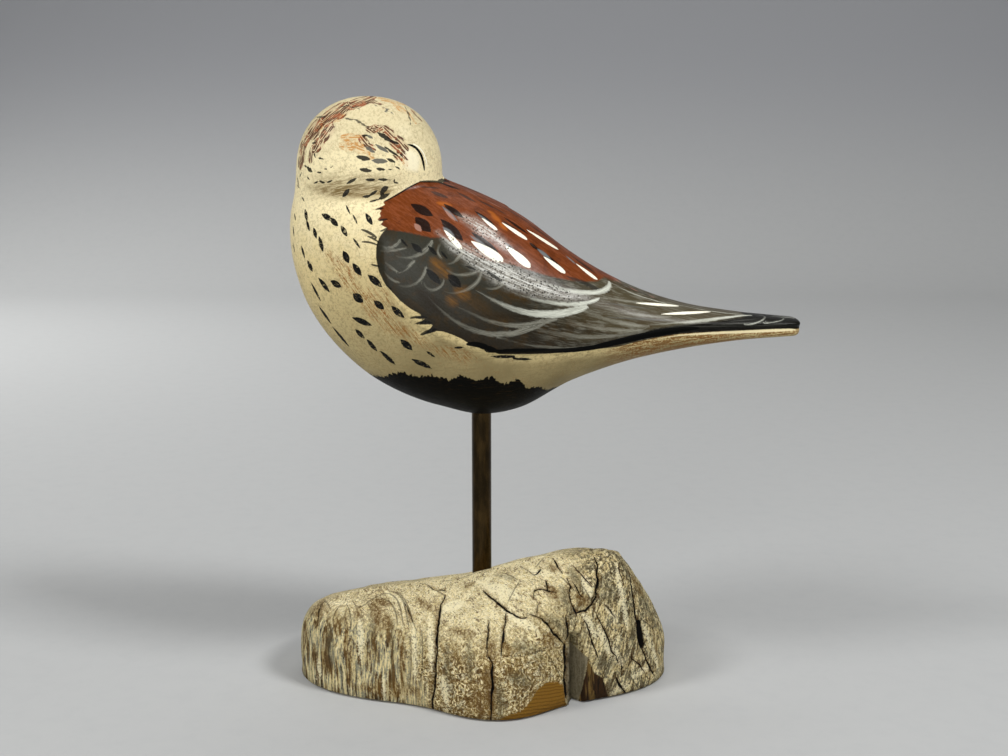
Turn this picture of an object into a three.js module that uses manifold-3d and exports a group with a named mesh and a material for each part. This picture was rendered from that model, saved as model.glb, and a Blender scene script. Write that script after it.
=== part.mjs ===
// A sleeping shorebird decoy: a carved wooden bird with its head turned back and its bill tucked
// along its back, standing on a round brass post set in a chunk of driftwood.
// Millimetres, +Z up, +X to the tail, the origin on the ground under the post's axis.

import * as THREE from "three";
import { mergeVertices } from "three/addons/utils/BufferGeometryUtils.js";
import Module from "manifold-3d";

const wasm = await Module();
wasm.setup();

// Bird
const BIRD_LENGTH = 162;
const BELLY_HEIGHT = 88.8;
const BELLY_SOCKET_DEPTH = 16;

// Post, and the play of its sockets
const POST_DIAMETER = 6.35;
const SOCKET_CLEARANCE = 0.3;
const SOCKET_FLOOR = 14;

// Driftwood base: its reach from the post each way, and its tops
const BASE_LEFT_REACH = 60.6;
const BASE_RIGHT_REACH = 61.2;
const BASE_FRONT_REACH = 29.5;
const BASE_BACK_REACH = 37;
const BASE_MIDDLE_Y = 4;
const BULGE_OUT = 12;
const BULGE_X = 6;
const BULGE_SPREAD = 20;
const RIDGE_LEFT_HEIGHT = 33;
const RIDGE_RIGHT_HEIGHT = 50.5;
const CLIMB_X = 12.7;
const CLIMB_RUN = 29.4;
const SHOULDER_X = 45.5;
const RIDGE_Y = -9;

// Notch split out of the base's front, to the right of the bulge
const NOTCH_X = 27.8;
const NOTCH_INNER_Y = -21.5;
const NOTCH_HEIGHT = 25;

// Fineness of the facets
const BIRD_AROUND = 60;
const BIRD_ALONG = 54;
const BASE_AROUND = 72;
const BASE_UP = 14;
const POST_SIDES = 24;

const wood = new THREE.MeshStandardMaterial({ color: 0xd9c79b, roughness: 0.55, metalness: 0 });
const brass = new THREE.MeshStandardMaterial({ color: 0x3d3322, roughness: 0.25, metalness: 1 });
const driftwood = new THREE.MeshStandardMaterial({ color: 0xcdbb92, roughness: 0.9, metalness: 0 });

// The carving, as shares of the bird's length. Heights count from the belly's lowest point,
// places along the bird from the post's axis.
const STATIONS = [
  { at: -0.372, back: 0.576, belly: 0.141, half: 0.125 },
  { at: -0.086, back: 0.466, belly: 0.018, half: 0.167 },
  { at: 0, back: 0.434, belly: 0.0005, half: 0.166 },
  { at: 0.08, back: 0.3905, belly: 0.015, half: 0.157 },
  { at: 0.174, back: 0.3215, belly: 0.066, half: 0.131 },
  { at: 0.28, back: 0.2605, belly: 0.1045, half: 0.0965 },
  { at: 0.392, back: 0.2195, belly: 0.131, half: 0.069 },
  { at: 0.5, back: 0.2005, belly: 0.1475, half: 0.05 },
  { at: 0.628, back: 0.187, belly: 0.1575, half: 0.034 },
];
const BREAST = { from: -0.086, reach: 0.2855, fullness: 3.1 };
const TAIL_END = { from: 0.612, reach: 0.014, fullness: 2.5 };
const SECTION = { round: 2.1, boxy: 0.9, from: 0.3, run: 0.3 };
const HEAD = { x: -0.2155, z: 0.4745, long: 0.141, wide: 0.106, high: 0.145, fullness: 2.2 };
const NECK_FOLD = { front: 0.012, back: 0.008, from: -0.3, run: 0.2 };
const WING = {
  x: 0.049,
  z: 0.322,
  forward: 0.244,
  down: 0.182,
  rise: 0.036,
  riseFrom: 0.086,
  riseRun: 0.32,
  lip: 0.0075,
  edge: 0.018,
  fade: 0.1,
  tailFade: 0.8,
  blendFrom: 0.34,
  blendRun: 0.09,
};
const BILL = {
  root: [-0.088, 0.006, 0.4535],
  tip: [0.045, 0.012, 0.4105],
  rootRadius: 0.014,
  tipRadius: 0.006,
};
const CREST = { shoulder: 1.25, behind: 0.42, ease: 0.0095, before: 0.012 };
const FOOT = { power: 2.3, lobes: [[3, 0.8, 1.1], [5, 2.1, 0.8]] };
const CORE = { front: [-0.15, 0.29], rear: [0.596, 0.1725], nape: 0.5, fanFront: 0.42, fanRear: 0.9 };

function clamp01(value) {
  return Math.min(Math.max(value, 0), 1);
}

function smoothStep(value) {
  const t = clamp01(value);
  return t * t * (3 - 2 * t);
}

// Smooth curve through one column of the stations: cubic between each two of them, with each
// inner slope the mean of its neighbours' weighted by their spacing.
function loft(column, x) {
  const last = STATIONS.length - 1;
  const span = (i) => STATIONS[i + 1].at - STATIONS[i].at;
  const chord = (i) => (STATIONS[i + 1][column] - STATIONS[i][column]) / span(i);
  const slope = (i) => {
    if (i === 0) return chord(0);
    if (i === last) return chord(last - 1);
    return (chord(i - 1) * span(i) + chord(i) * span(i - 1)) / (span(i - 1) + span(i));
  };
  const at = THREE.MathUtils.clamp(x, STATIONS[0].at, STATIONS[last].at);
  let i = 0;
  while (i < last - 1 && STATIONS[i + 1].at <= at) i += 1;
  const h = span(i);
  const t = (at - STATIONS[i].at) / h;
  const start = (1 + 2 * t) * (1 - t) * (1 - t) * STATIONS[i][column];
  const end = t * t * (3 - 2 * t) * STATIONS[i + 1][column];
  const leave = t * (1 - t) * (1 - t) * h * slope(i);
  const arrive = t * t * (1 - t) * h * slope(i + 1);
  return start + end + leave - arrive;
}

// Depth inside the folded wing's outline, seen from the side: an ellipse's quarter at the bend,
// and a low edge that rises towards the tail.
function wingDepth(x, z) {
  const rise = WING.rise * smoothStep((x - WING.riseFrom) / WING.riseRun);
  const across = Math.min(x - WING.x, 0) / WING.forward;
  const below = Math.min(z - rise - WING.z, 0) / WING.down;
  return WING.down * (1 - Math.hypot(across, below));
}

// Height of the wing's rounded lip over a body of the given half height, which sinks back into
// the body behind its edge and dies out above the bend.
function wingLip(x, z, rise) {
  const depth = wingDepth(x, z);
  const upper = 1 - smoothStep((z - WING.blendFrom) / WING.blendRun);
  const reach = Math.min(WING.fade, WING.tailFade * rise);
  const fade = Math.exp(-((Math.max(depth, 0) / reach) ** 2));
  const front = x < WING.x ? upper : 1;
  return WING.lip * smoothStep(depth / WING.edge) * fade * front;
}

// Signed measure of the carved bird, below zero inside: a body lofted through the stations with
// a round breast and a blunt tail, a round head fused to it over a shallow neck fold.
function carving(x, y, z) {
  const back = loft("back", x);
  const belly = loft("belly", x);
  const half = loft("half", x);
  const middle = (back + belly) / 2;
  const rise = (back - belly) / 2;
  const power = SECTION.round + SECTION.boxy * clamp01((x - SECTION.from) / SECTION.run);
  const chest = Math.max((BREAST.from - x) / BREAST.reach, 0) ** BREAST.fullness;
  const end = Math.max((x - TAIL_END.from) / TAIL_END.reach, 0) ** TAIL_END.fullness;
  const round = Math.abs(y / half) ** power + Math.abs((z - middle) / rise) ** power;
  const body = ((chest + end + round) ** (1 / power) - 1) * Math.min(rise, half);
  const f = HEAD.fullness;
  const ball = Math.abs((x - HEAD.x) / HEAD.long) ** f
    + Math.abs(y / HEAD.wide) ** f + Math.abs((z - HEAD.z) / HEAD.high) ** f;
  const head = (ball ** (1 / f) - 1) * (HEAD.wide + HEAD.high) / 2;
  const along = clamp01((x - NECK_FOLD.from) / NECK_FOLD.run);
  const fold = THREE.MathUtils.lerp(NECK_FOLD.front, NECK_FOLD.back, along);
  const mix = clamp01(0.5 + 0.5 * (body - head) / fold);
  const fused = THREE.MathUtils.lerp(body, head, mix) - fold * mix * (1 - mix);
  return fused - wingLip(x, z, rise);
}

// Surface point along a ray that starts inside the bird, by halving.
function surfaceAlong(origin, direction) {
  let inside = 0;
  let outside = 0.6;
  for (let step = 0; step < 30; step += 1) {
    const middle = (inside + outside) / 2;
    const point = direction.clone().multiplyScalar(middle).add(origin);
    if (carving(point.x, point.y, point.z) < 0) inside = middle;
    else outside = middle;
  }
  return direction.clone().multiplyScalar(inside).add(origin);
}

// Ray for one crossing of the grid. The rays fan out round the breast from one point, walk down
// the core to the tail and fan out again round its end. Above, they lean towards the nape.
function coreRay(along, around) {
  const angle = 2 * Math.PI * around;
  const up = Math.cos(angle);
  const lean = CORE.nape * Math.max(up, 0) ** 2;
  const front = new THREE.Vector3(CORE.front[0], 0, CORE.front[1]);
  const rear = new THREE.Vector3(CORE.rear[0], 0, CORE.rear[1]);
  const tilt = Math.atan2(CORE.front[1] - CORE.rear[1], CORE.rear[0] - CORE.front[0]);
  const quarter = Math.PI / 2;
  const walked = clamp01((along - CORE.fanFront) / (CORE.fanRear - CORE.fanFront));
  const origin = front.clone().lerp(rear, walked);
  let polar = quarter + lean * (1 - walked) ** 2;
  if (along < CORE.fanFront) polar = (along / CORE.fanFront) * (quarter + lean);
  if (along > CORE.fanRear) polar = quarter * (1 + (along - CORE.fanRear) / (1 - CORE.fanRear));
  const wide = loft("half", origin.x);
  const tall = (loft("back", origin.x) - loft("belly", origin.x)) / 2;
  const flat = Math.min(tall / wide, 1);
  const out = Math.sin(polar);
  const direction = new THREE.Vector3(-Math.cos(polar), Math.sin(angle) * out, up * out * flat).normalize();
  direction.applyAxisAngle(new THREE.Vector3(0, 1, 0), tilt * (1 - walked));
  return { origin, direction };
}

// Closed mesh of a grid of points: rings from one pole to the other.
function closedGrid(first, rings, last) {
  const around = rings[0].length;
  const points = [first, ...rings.flat(), last];
  const ring = (i, j) => 1 + i * around + (j % around);
  const faces = [];
  for (let j = 0; j < around; j += 1) {
    faces.push(0, ring(0, j), ring(0, j + 1));
    for (let i = 0; i + 1 < rings.length; i += 1) {
      faces.push(ring(i, j), ring(i + 1, j), ring(i + 1, j + 1));
      faces.push(ring(i, j), ring(i + 1, j + 1), ring(i, j + 1));
    }
    faces.push(ring(rings.length - 1, j + 1), ring(rings.length - 1, j), points.length - 1);
  }
  const geometry = new THREE.BufferGeometry().setFromPoints(points);
  geometry.setIndex(faces);
  return geometry;
}

function toSolid(geometry) {
  const bare = geometry.clone();
  bare.deleteAttribute("normal");
  bare.deleteAttribute("uv");
  const merged = mergeVertices(bare, 1e-4);
  return new wasm.Manifold(new wasm.Mesh({
    numProp: 3,
    vertProperties: new Float32Array(merged.attributes.position.array),
    triVerts: new Uint32Array(merged.index.array),
  }));
}

function toGeometry(solid) {
  const mesh = solid.getMesh();
  const geometry = new THREE.BufferGeometry();
  geometry.setAttribute("position", new THREE.BufferAttribute(new Float32Array(mesh.vertProperties), 3));
  geometry.setIndex(new THREE.BufferAttribute(new Uint32Array(mesh.triVerts), 1));
  geometry.computeVertexNormals();
  return geometry;
}

// Upright round bar between two heights on the post's axis.
function uprightBar(radius, low, high) {
  const bar = new THREE.CylinderGeometry(radius, radius, high - low, POST_SIDES);
  bar.rotateX(Math.PI / 2);
  bar.translate(0, 0, (low + high) / 2);
  return bar;
}

function toBird([x, y, z]) {
  return new THREE.Vector3(x, y, z).multiplyScalar(BIRD_LENGTH).add(new THREE.Vector3(0, 0, BELLY_HEIGHT));
}

// Tucked bill: a tapered round form, half sunk in the back behind the face.
function billGeometry() {
  const root = toBird(BILL.root);
  const tip = toBird(BILL.tip);
  const length = root.distanceTo(tip);
  const profile = [new THREE.Vector2(0, 0)];
  const STEPS = 6;
  for (let step = 0; step < STEPS; step += 1) {
    const t = step / STEPS;
    const radius = THREE.MathUtils.lerp(BILL.rootRadius, BILL.tipRadius, t) * BIRD_LENGTH;
    profile.push(new THREE.Vector2(radius, t * length));
  }
  profile.push(new THREE.Vector2(0, length));
  const bill = new THREE.LatheGeometry(profile, 12);
  const upright = new THREE.Vector3(0, 1, 0);
  const direction = tip.clone().sub(root).normalize();
  bill.applyQuaternion(new THREE.Quaternion().setFromUnitVectors(upright, direction));
  bill.translate(root.x, root.y, root.z);
  return bill;
}

function birdGeometry() {
  const rings = [];
  const surface = (along, around) => {
    const { origin, direction } = coreRay(along, around);
    const point = surfaceAlong(origin, direction);
    return toBird([point.x, point.y, point.z]);
  };
  for (let i = 1; i < BIRD_ALONG; i += 1) {
    const ring = [];
    for (let j = 0; j < BIRD_AROUND; j += 1) ring.push(surface(i / BIRD_ALONG, j / BIRD_AROUND));
    rings.push(ring);
  }
  const carved = toSolid(closedGrid(surface(0, 0), rings, surface(1, 0)));
  const socketRadius = POST_DIAMETER / 2 + SOCKET_CLEARANCE;
  const socketTop = BELLY_HEIGHT + BELLY_SOCKET_DEPTH + SOCKET_CLEARANCE;
  const socket = toSolid(uprightBar(socketRadius, BELLY_HEIGHT - BELLY_SOCKET_DEPTH, socketTop));
  return toGeometry(carved.add(toSolid(billGeometry())).subtract(socket));
}

// Height of the driftwood's crest over one place in its plan: a ridge in front of the post that
// climbs to the right and breaks off in a shoulder, with a rounded slope in front of it and a
// steeper fall behind that eases towards the back.
function crestHeight(x, y) {
  const climb = 0.5 + 0.5 * Math.tanh((x - CLIMB_X) / CLIMB_RUN);
  const ridge = THREE.MathUtils.lerp(RIDGE_LEFT_HEIGHT, RIDGE_RIGHT_HEIGHT, climb);
  const beyond = Math.max(x - SHOULDER_X, 0);
  const behind = Math.max(y - RIDGE_Y, 0);
  const before = Math.max(RIDGE_Y - y, 0);
  const fall = CREST.behind * behind * (1 - behind * CREST.ease);
  return ridge - CREST.shoulder * beyond - fall - CREST.before * before * before;
}

// Distance from the base's middle to its foot in one direction.
function footReach(angle) {
  const c = Math.cos(angle);
  const s = Math.sin(angle);
  const sideways = c < 0 ? BASE_LEFT_REACH : BASE_RIGHT_REACH;
  const depth = s < 0 ? BASE_FRONT_REACH + BASE_MIDDLE_Y : BASE_BACK_REACH - BASE_MIDDLE_Y;
  const spread = Math.abs(c / sideways) ** FOOT.power + Math.abs(s / depth) ** FOOT.power;
  const round = spread ** (-1 / FOOT.power);
  const x = c * round;
  const bulge = s < 0 ? BULGE_OUT * Math.exp(-(((x - BULGE_X) / BULGE_SPREAD) ** 2)) : 0;
  const lobes = FOOT.lobes.reduce((sum, [waves, turn, size]) => sum + size * Math.sin(waves * angle + turn), 0);
  return round + bulge * s * s + lobes * Math.max(s, 0);
}

function baseGeometry() {
  const rings = [];
  const point = (up, angle) => {
    const c = Math.cos(angle);
    const fullness = 4.4 - 0.4 * c;
    const turn = up * Math.PI / 2;
    const spread = Math.cos(turn) ** (2 / fullness);
    const lift = Math.sin(turn) ** (2 / fullness);
    const reach = footReach(angle) * spread;
    const x = c * reach;
    const y = BASE_MIDDLE_Y + Math.sin(angle) * reach;
    return new THREE.Vector3(x, y, crestHeight(x, y) * lift);
  };
  for (let i = 0; i < BASE_UP; i += 1) {
    const ring = [];
    for (let j = 0; j < BASE_AROUND; j += 1) ring.push(point(i / BASE_UP, -2 * Math.PI * j / BASE_AROUND));
    rings.push(ring);
  }
  const middle = new THREE.Vector3(0, BASE_MIDDLE_Y, 0);
  const block = toSolid(closedGrid(middle, rings, point(1, 0)));
  const socketRadius = POST_DIAMETER / 2 + SOCKET_CLEARANCE;
  const tall = BELLY_HEIGHT;
  const socket = toSolid(uprightBar(socketRadius, SOCKET_FLOOR - SOCKET_CLEARANCE, tall));
  return toGeometry(block.subtract(socket).subtract(toSolid(notchGeometry())));
}

// Wedge split out of the front: one side runs straight back, the other slants out.
function notchGeometry() {
  const CUT_OUT = 30;
  const outline = new THREE.Shape();
  outline.moveTo(NOTCH_X, NOTCH_INNER_Y);
  outline.lineTo(NOTCH_X, NOTCH_INNER_Y - CUT_OUT);
  outline.lineTo(NOTCH_X + CUT_OUT, NOTCH_INNER_Y - CUT_OUT);
  const below = 5;
  const wedge = new THREE.ExtrudeGeometry(outline, { depth: NOTCH_HEIGHT + below, bevelEnabled: false });
  wedge.translate(0, 0, -below);
  return wedge;
}

const part = new THREE.Group();

function addPiece(name, geometry, material) {
  const mesh = new THREE.Mesh(geometry, material);
  mesh.name = name;
  part.add(mesh);
}

addPiece("bird", birdGeometry(), wood);
addPiece("post", uprightBar(POST_DIAMETER / 2, SOCKET_FLOOR, BELLY_HEIGHT + BELLY_SOCKET_DEPTH), brass);
addPiece("driftwood_base", baseGeometry(), driftwood);

export default part;
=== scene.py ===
"""Dresses a sleeping shorebird decoy: a carved and painted wooden bird on a brass post in driftwood.

The bird's carving is one closed surface found along rays from its core. Its plumage is painted
stroke by stroke: each stroke's distance is stored on the surface, and the paint's own noise frays
its edge. The driftwood is a height over a bent ellipse with its cracks cut in, and the post is a
turned rod. All sizes are millimetres in the part's frame until they reach a mesh.
"""

import logging
import math
from dataclasses import dataclass, field
from enum import Enum
from typing import Any, Callable, Sequence, Union

import bpy
import numpy as np
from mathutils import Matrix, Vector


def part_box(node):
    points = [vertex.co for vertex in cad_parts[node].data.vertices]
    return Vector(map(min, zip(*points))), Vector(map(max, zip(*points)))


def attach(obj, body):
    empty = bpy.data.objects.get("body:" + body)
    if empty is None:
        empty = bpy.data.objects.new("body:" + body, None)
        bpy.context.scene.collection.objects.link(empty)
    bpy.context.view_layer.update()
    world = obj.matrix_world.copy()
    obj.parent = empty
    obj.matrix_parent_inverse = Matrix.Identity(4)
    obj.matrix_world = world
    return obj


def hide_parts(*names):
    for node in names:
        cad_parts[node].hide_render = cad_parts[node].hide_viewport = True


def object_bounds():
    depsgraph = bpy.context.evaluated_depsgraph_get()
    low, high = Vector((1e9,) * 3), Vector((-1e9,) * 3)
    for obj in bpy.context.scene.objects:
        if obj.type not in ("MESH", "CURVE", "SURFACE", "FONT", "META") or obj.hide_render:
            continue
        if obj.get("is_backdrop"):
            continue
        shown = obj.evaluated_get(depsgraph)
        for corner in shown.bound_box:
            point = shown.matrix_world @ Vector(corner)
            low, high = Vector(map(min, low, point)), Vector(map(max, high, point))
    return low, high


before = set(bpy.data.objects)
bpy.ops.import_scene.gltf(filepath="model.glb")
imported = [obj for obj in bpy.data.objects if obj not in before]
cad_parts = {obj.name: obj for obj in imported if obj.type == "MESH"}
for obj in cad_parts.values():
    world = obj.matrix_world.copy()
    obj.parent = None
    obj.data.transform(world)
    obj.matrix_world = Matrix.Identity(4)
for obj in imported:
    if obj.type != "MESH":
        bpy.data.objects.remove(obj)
CAD_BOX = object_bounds()

MM = 0.001
BODY = "root"
LOG = logging.getLogger("decoy")

Array = np.ndarray
Piece = bpy.types.Object
Socket = bpy.types.NodeSocket
Pixel = tuple[float, float]
Triple = tuple[float, float, float]
Colour = tuple[float, float, float, float]

# how large a pixel is on the bird, and how finely turns, random numbers and rays are worked out
PIXELS_PER_MM = 3.2
TURN_STEPS = 4001
LATTICE_CELLS = 32
HALVINGS = 24


def paint(code: str) -> Colour:
    """Turns a paint's hex code into linear red, green, blue and alpha."""
    channels = [int(code[i:i + 2], 16) / 255 for i in (0, 2, 4)]
    return (*[c / 12.92 if c <= 0.04045 else ((c + 0.055) / 1.055) ** 2.4 for c in channels], 1.0)


def smooth_step(value: Array) -> Array:
    """Rises from 0 to 1 with flat ends as value goes from 0 to 1."""
    t = np.clip(value, 0, 1)
    return t * t * (3 - 2 * t)


@dataclass(frozen=True)
class Viewpoint:
    """Where the photograph was taken from, which also places the paint strokes, and between what
    distances rays look for the bird. Lengths are millimetres, angles degrees."""

    place: Triple = (7.3, -463.33, 190.06)
    pitch: float = 11.0
    focal: float = 1464.0
    width: int = 1008
    height: int = 756
    sensor: float = 36.0
    bird_near: float = 400.0
    bird_far: float = 540.0
    probes: int = 141

    def rays(self, pixels: Array) -> tuple[Array, Array]:
        """Sends a ray through each pixel.

        Args:
            pixels: an array of columns and rows in the photograph's frame.

        Returns:
            The rays' common start and their directions, of length 1.
        """
        across = (pixels[:, 0] - self.width / 2) / self.focal
        down = (pixels[:, 1] - self.height / 2) / self.focal
        c, s = math.cos(math.radians(self.pitch)), math.sin(math.radians(self.pitch))
        ways = np.stack([across, c - down * s, -s - down * c], axis=1)
        return np.array(self.place), ways / np.linalg.norm(ways, axis=1, keepdims=True)

    def camera(self) -> Piece:
        """Makes the camera with the photograph's lens, place and pitch.

        Returns:
            The camera, set as the scene's own.
        """
        data = bpy.data.cameras.new("view")
        data.sensor_width = self.sensor
        data.lens = self.focal / self.width * self.sensor
        camera = bpy.data.objects.new("view", data)
        camera.location = [c * MM for c in self.place]
        camera.rotation_euler = (math.radians(90 - self.pitch), 0, 0)
        bpy.context.scene.collection.objects.link(camera)
        bpy.context.scene.camera = camera
        return camera


VIEW = Viewpoint()


def mesh_piece(name: str, points: Array, faces: list[tuple[int, ...]]) -> Piece:
    """Makes a smooth-shaded mesh object from points in millimetres and its faces.

    Args:
        name: the object's name.
        points: places, in millimetres.
        faces: each face's points, by number.

    Returns:
        The object, unturned at the origin.
    """
    mesh = bpy.data.meshes.new(name)
    mesh.from_pydata((points * MM).tolist(), [], faces)
    mesh.polygons.foreach_set("use_smooth", np.ones(len(mesh.polygons), bool))
    mesh.update()
    piece = bpy.data.objects.new(name, mesh)
    bpy.context.scene.collection.objects.link(piece)
    return piece


def store(piece: Piece, name: str, values: Array) -> None:
    """Stores one number on each of a piece's points, for its finish to read."""
    layer = piece.data.attributes.new(name, "FLOAT", "POINT")
    layer.data.foreach_set("value", values.astype(np.float32))


def closed_grid(rings: int, around: int) -> list[tuple[int, ...]]:
    """Faces of a closed surface of rings between two poles, the first and the last point.

    Args:
        rings: how many rings lie between the poles.
        around: how many points each ring has.

    Returns:
        Triangles at the poles and quads between the rings, facing outwards.
    """
    i, j = np.meshgrid(np.arange(rings - 1), np.arange(around), indexing="ij")
    here = 1 + i * around + j
    beside = 1 + i * around + (j + 1) % around
    quads = np.stack([here, here + around, beside + around, beside], axis=-1).reshape(-1, 4)
    k = np.arange(around)
    last = 1 + (rings - 1) * around
    first_cap = np.stack([np.zeros_like(k), 1 + k, 1 + (k + 1) % around], axis=1)
    last_cap = np.stack([np.full_like(k, 1 + rings * around), last + (k + 1) % around, last + k], axis=1)
    return [tuple(f) for part in (quads, first_cap, last_cap) for f in part.tolist()]


def spread_turn(count: int, crowding: float) -> Array:
    """Angles of one turn, closer together near 0 by the given crowding.

    Args:
        count: how many angles.
        crowding: 0 for even ones, up to 1.

    Returns:
        The angles, in radians from 0.
    """
    fine = np.linspace(0, 2 * np.pi, TURN_STEPS)
    share = (fine + crowding * np.sin(fine)) / (2 * np.pi)
    return np.interp(np.arange(count) / count, share, fine)


def value_noise(points: Array, size: float, seed: int) -> Array:
    """Smooth random numbers from -1 to 1 over space.

    Formula: random values on a lattice of the given cell size, blended over each cell's eight
    corners with smooth weights.

    Args:
        points: an array of places, in millimetres.
        size: the lattice's cell, in millimetres.
        seed: picks the random values.

    Returns:
        One number for each place.
    """
    lattice = np.random.default_rng(seed).uniform(-1, 1, (LATTICE_CELLS,) * 3)
    scaled = points / size
    low = np.floor(scaled).astype(int)
    weight = smooth_step(scaled - low)
    total = np.zeros(len(points))
    for corner in np.ndindex(2, 2, 2):
        share = np.prod(np.where(corner, weight, 1 - weight), axis=1)
        x, y, z = ((low + corner) % LATTICE_CELLS).T
        total += share * lattice[x, y, z]
    return total


@dataclass(frozen=True)
class Station:
    """One section of the carved body, in shares of the bird's length."""

    at: float
    back: float
    belly: float
    half: float


STATIONS = (
    Station(-0.372, 0.576, 0.141, 0.125),
    Station(-0.086, 0.466, 0.018, 0.167),
    Station(0.0, 0.434, 0.0005, 0.166),
    Station(0.08, 0.3905, 0.015, 0.157),
    Station(0.174, 0.3215, 0.066, 0.131),
    Station(0.28, 0.2605, 0.1045, 0.0965),
    Station(0.392, 0.2195, 0.131, 0.069),
    Station(0.5, 0.2005, 0.1475, 0.05),
    Station(0.628, 0.187, 0.1575, 0.034),
)


@dataclass(frozen=True)
class Carving:
    """The bird's form as a signed measure, below zero inside.

    Its length, its belly's height and the knife marks' size are millimetres, all else shares of
    its length or powers.
    """

    length: float = 162.0
    belly_height: float = 88.8
    body_fullness: float = 2.1
    rear_fullness: float = 0.9
    rear_from: float = 0.3
    rear_reach: float = 0.3
    breast_from: float = -0.086
    breast_reach: float = 0.2855
    breast_fullness: float = 3.1
    tail_from: float = 0.612
    tail_reach: float = 0.014
    tail_fullness: float = 2.5
    head: tuple[float, float] = (-0.2155, 0.4745)
    head_long: float = 0.141
    head_wide: float = 0.106
    head_high: float = 0.145
    head_fullness: float = 2.2
    neck_fold: float = 0.012
    fold_tightening: float = 0.004
    knife_marks: float = 0.0007
    knife_size: float = 9.0
    wing: tuple[float, float] = (0.049, 0.322)
    wing_forward: float = 0.244
    wing_down: float = 0.182
    wing_rise: float = 0.036
    wing_rise_from: float = 0.086
    wing_rise_reach: float = 0.32
    shoulder: float = 0.34
    shoulder_reach: float = 0.09
    wing_lip: float = 0.0075
    wing_edge: float = 0.014
    wing_fade: float = 0.1
    bill_root: Triple = (-0.088, 0.006, 0.4535)
    bill_tip: Triple = (0.045, 0.012, 0.4065)
    bill_root_radius: float = 0.014
    bill_tip_radius: float = 0.003
    bill_blend: float = 0.009
    core_front: Triple = (-0.15, 0.0, 0.29)
    core_rear: Triple = (0.596, 0.0, 0.1725)
    nape_lean: float = 0.5
    fan_front: float = 0.36
    fan_rear: float = 0.97
    ray_reach: float = 0.6

    def loft(self, column: str, x: Array) -> Array:
        """Smooth curve through one column of the stations.

        Formula: a cubic between each two stations, each inner slope the mean of its two chords'
        weighted by the other's span.

        Args:
            column: back, belly or half.
            x: places along the bird, in shares.

        Returns:
            The curve's values there.
        """
        at = np.array([s.at for s in STATIONS])
        value = np.array([getattr(s, column) for s in STATIONS])
        span = np.diff(at)
        chord = np.diff(value) / span
        inner = (chord[:-1] * span[1:] + chord[1:] * span[:-1]) / (span[1:] + span[:-1])
        slope = np.concatenate([chord[:1], inner, chord[-1:]])
        x = np.clip(x, at[0], at[-1])
        i = np.clip(np.searchsorted(at, x, side="right") - 1, 0, len(at) - 2)
        t = (x - at[i]) / span[i]
        start = (1 + 2 * t) * (1 - t) ** 2 * value[i]
        end = t * t * (3 - 2 * t) * value[i + 1]
        return start + end + (t * (1 - t) ** 2 * slope[i] - t * t * (1 - t) * slope[i + 1]) * span[i]

    def wing_depth(self, x: Array, z: Array) -> Array:
        """Depth inside the folded wing's outline, seen from the side.

        Formula: an ellipse's quarter at the bend and a low edge that rises towards the tail.

        Args:
            x: places along the bird.
            z: their heights.

        Returns:
            The depth, below zero outside the wing.
        """
        rise = self.wing_rise * smooth_step((x - self.wing_rise_from) / self.wing_rise_reach)
        across = np.minimum(x - self.wing[0], 0) / self.wing_forward
        below = np.minimum(z - rise - self.wing[1], 0) / self.wing_down
        return self.wing_down * (1 - np.hypot(across, below))

    def lip(self, x: Array, z: Array, rise: Array) -> Array:
        """Height of the wing's rounded lip, which sinks back into the body behind its edge.

        Args:
            x: places along the bird.
            z: their heights.
            rise: the body's half height there.

        Returns:
            The lip's height.
        """
        depth = self.wing_depth(x, z)
        below = 1 - smooth_step((z - self.shoulder) / self.shoulder_reach)
        upper = np.where(x < self.wing[0], below, 1)
        reach = np.minimum(self.wing_fade, 0.8 * rise)
        fade = np.exp(-((np.maximum(depth, 0) / reach) ** 2))
        return self.wing_lip * smooth_step(depth / self.wing_edge) * fade * upper

    def parts(self, p: Array) -> tuple[Array, Array, Array]:
        """Signed measures of the body and the head, and the body's half height, at shares p.

        Args:
            p: places, in shares.

        Returns:
            The body's measure, the head's, and the half height.
        """
        x, y, z = p.T
        back, belly, half = (self.loft(c, x) for c in ("back", "belly", "half"))
        middle, rise = (back + belly) / 2, (back - belly) / 2
        rear = np.clip((x - self.rear_from) / self.rear_reach, 0, 1)
        power = self.body_fullness + self.rear_fullness * rear
        chest = np.maximum((self.breast_from - x) / self.breast_reach, 0) ** self.breast_fullness
        end = np.maximum((x - self.tail_from) / self.tail_reach, 0) ** self.tail_fullness
        around = np.abs(y / half) ** power + np.abs((z - middle) / rise) ** power
        body = ((chest + end + around) ** (1 / power) - 1) * np.minimum(rise, half)
        f = self.head_fullness
        ball = (np.abs((x - self.head[0]) / self.head_long) ** f + np.abs(y / self.head_wide) ** f
                + np.abs((z - self.head[1]) / self.head_high) ** f)
        head = (ball ** (1 / f) - 1) * (self.head_wide + self.head_high) / 2
        return body, head, rise

    def bill(self, p: Array) -> Array:
        """Signed measure of the tucked bill: a tapered rod with round ends.

        Args:
            p: places, in shares.

        Returns:
            The measure, below zero inside.
        """
        root, tip = np.array(self.bill_root), np.array(self.bill_tip)
        way = tip - root
        t = np.clip((p - root) @ way / (way @ way), 0, 1)
        off = np.linalg.norm(p - root - t[:, None] * way, axis=1)
        return off - (self.bill_root_radius + (self.bill_tip_radius - self.bill_root_radius) * t)

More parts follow.
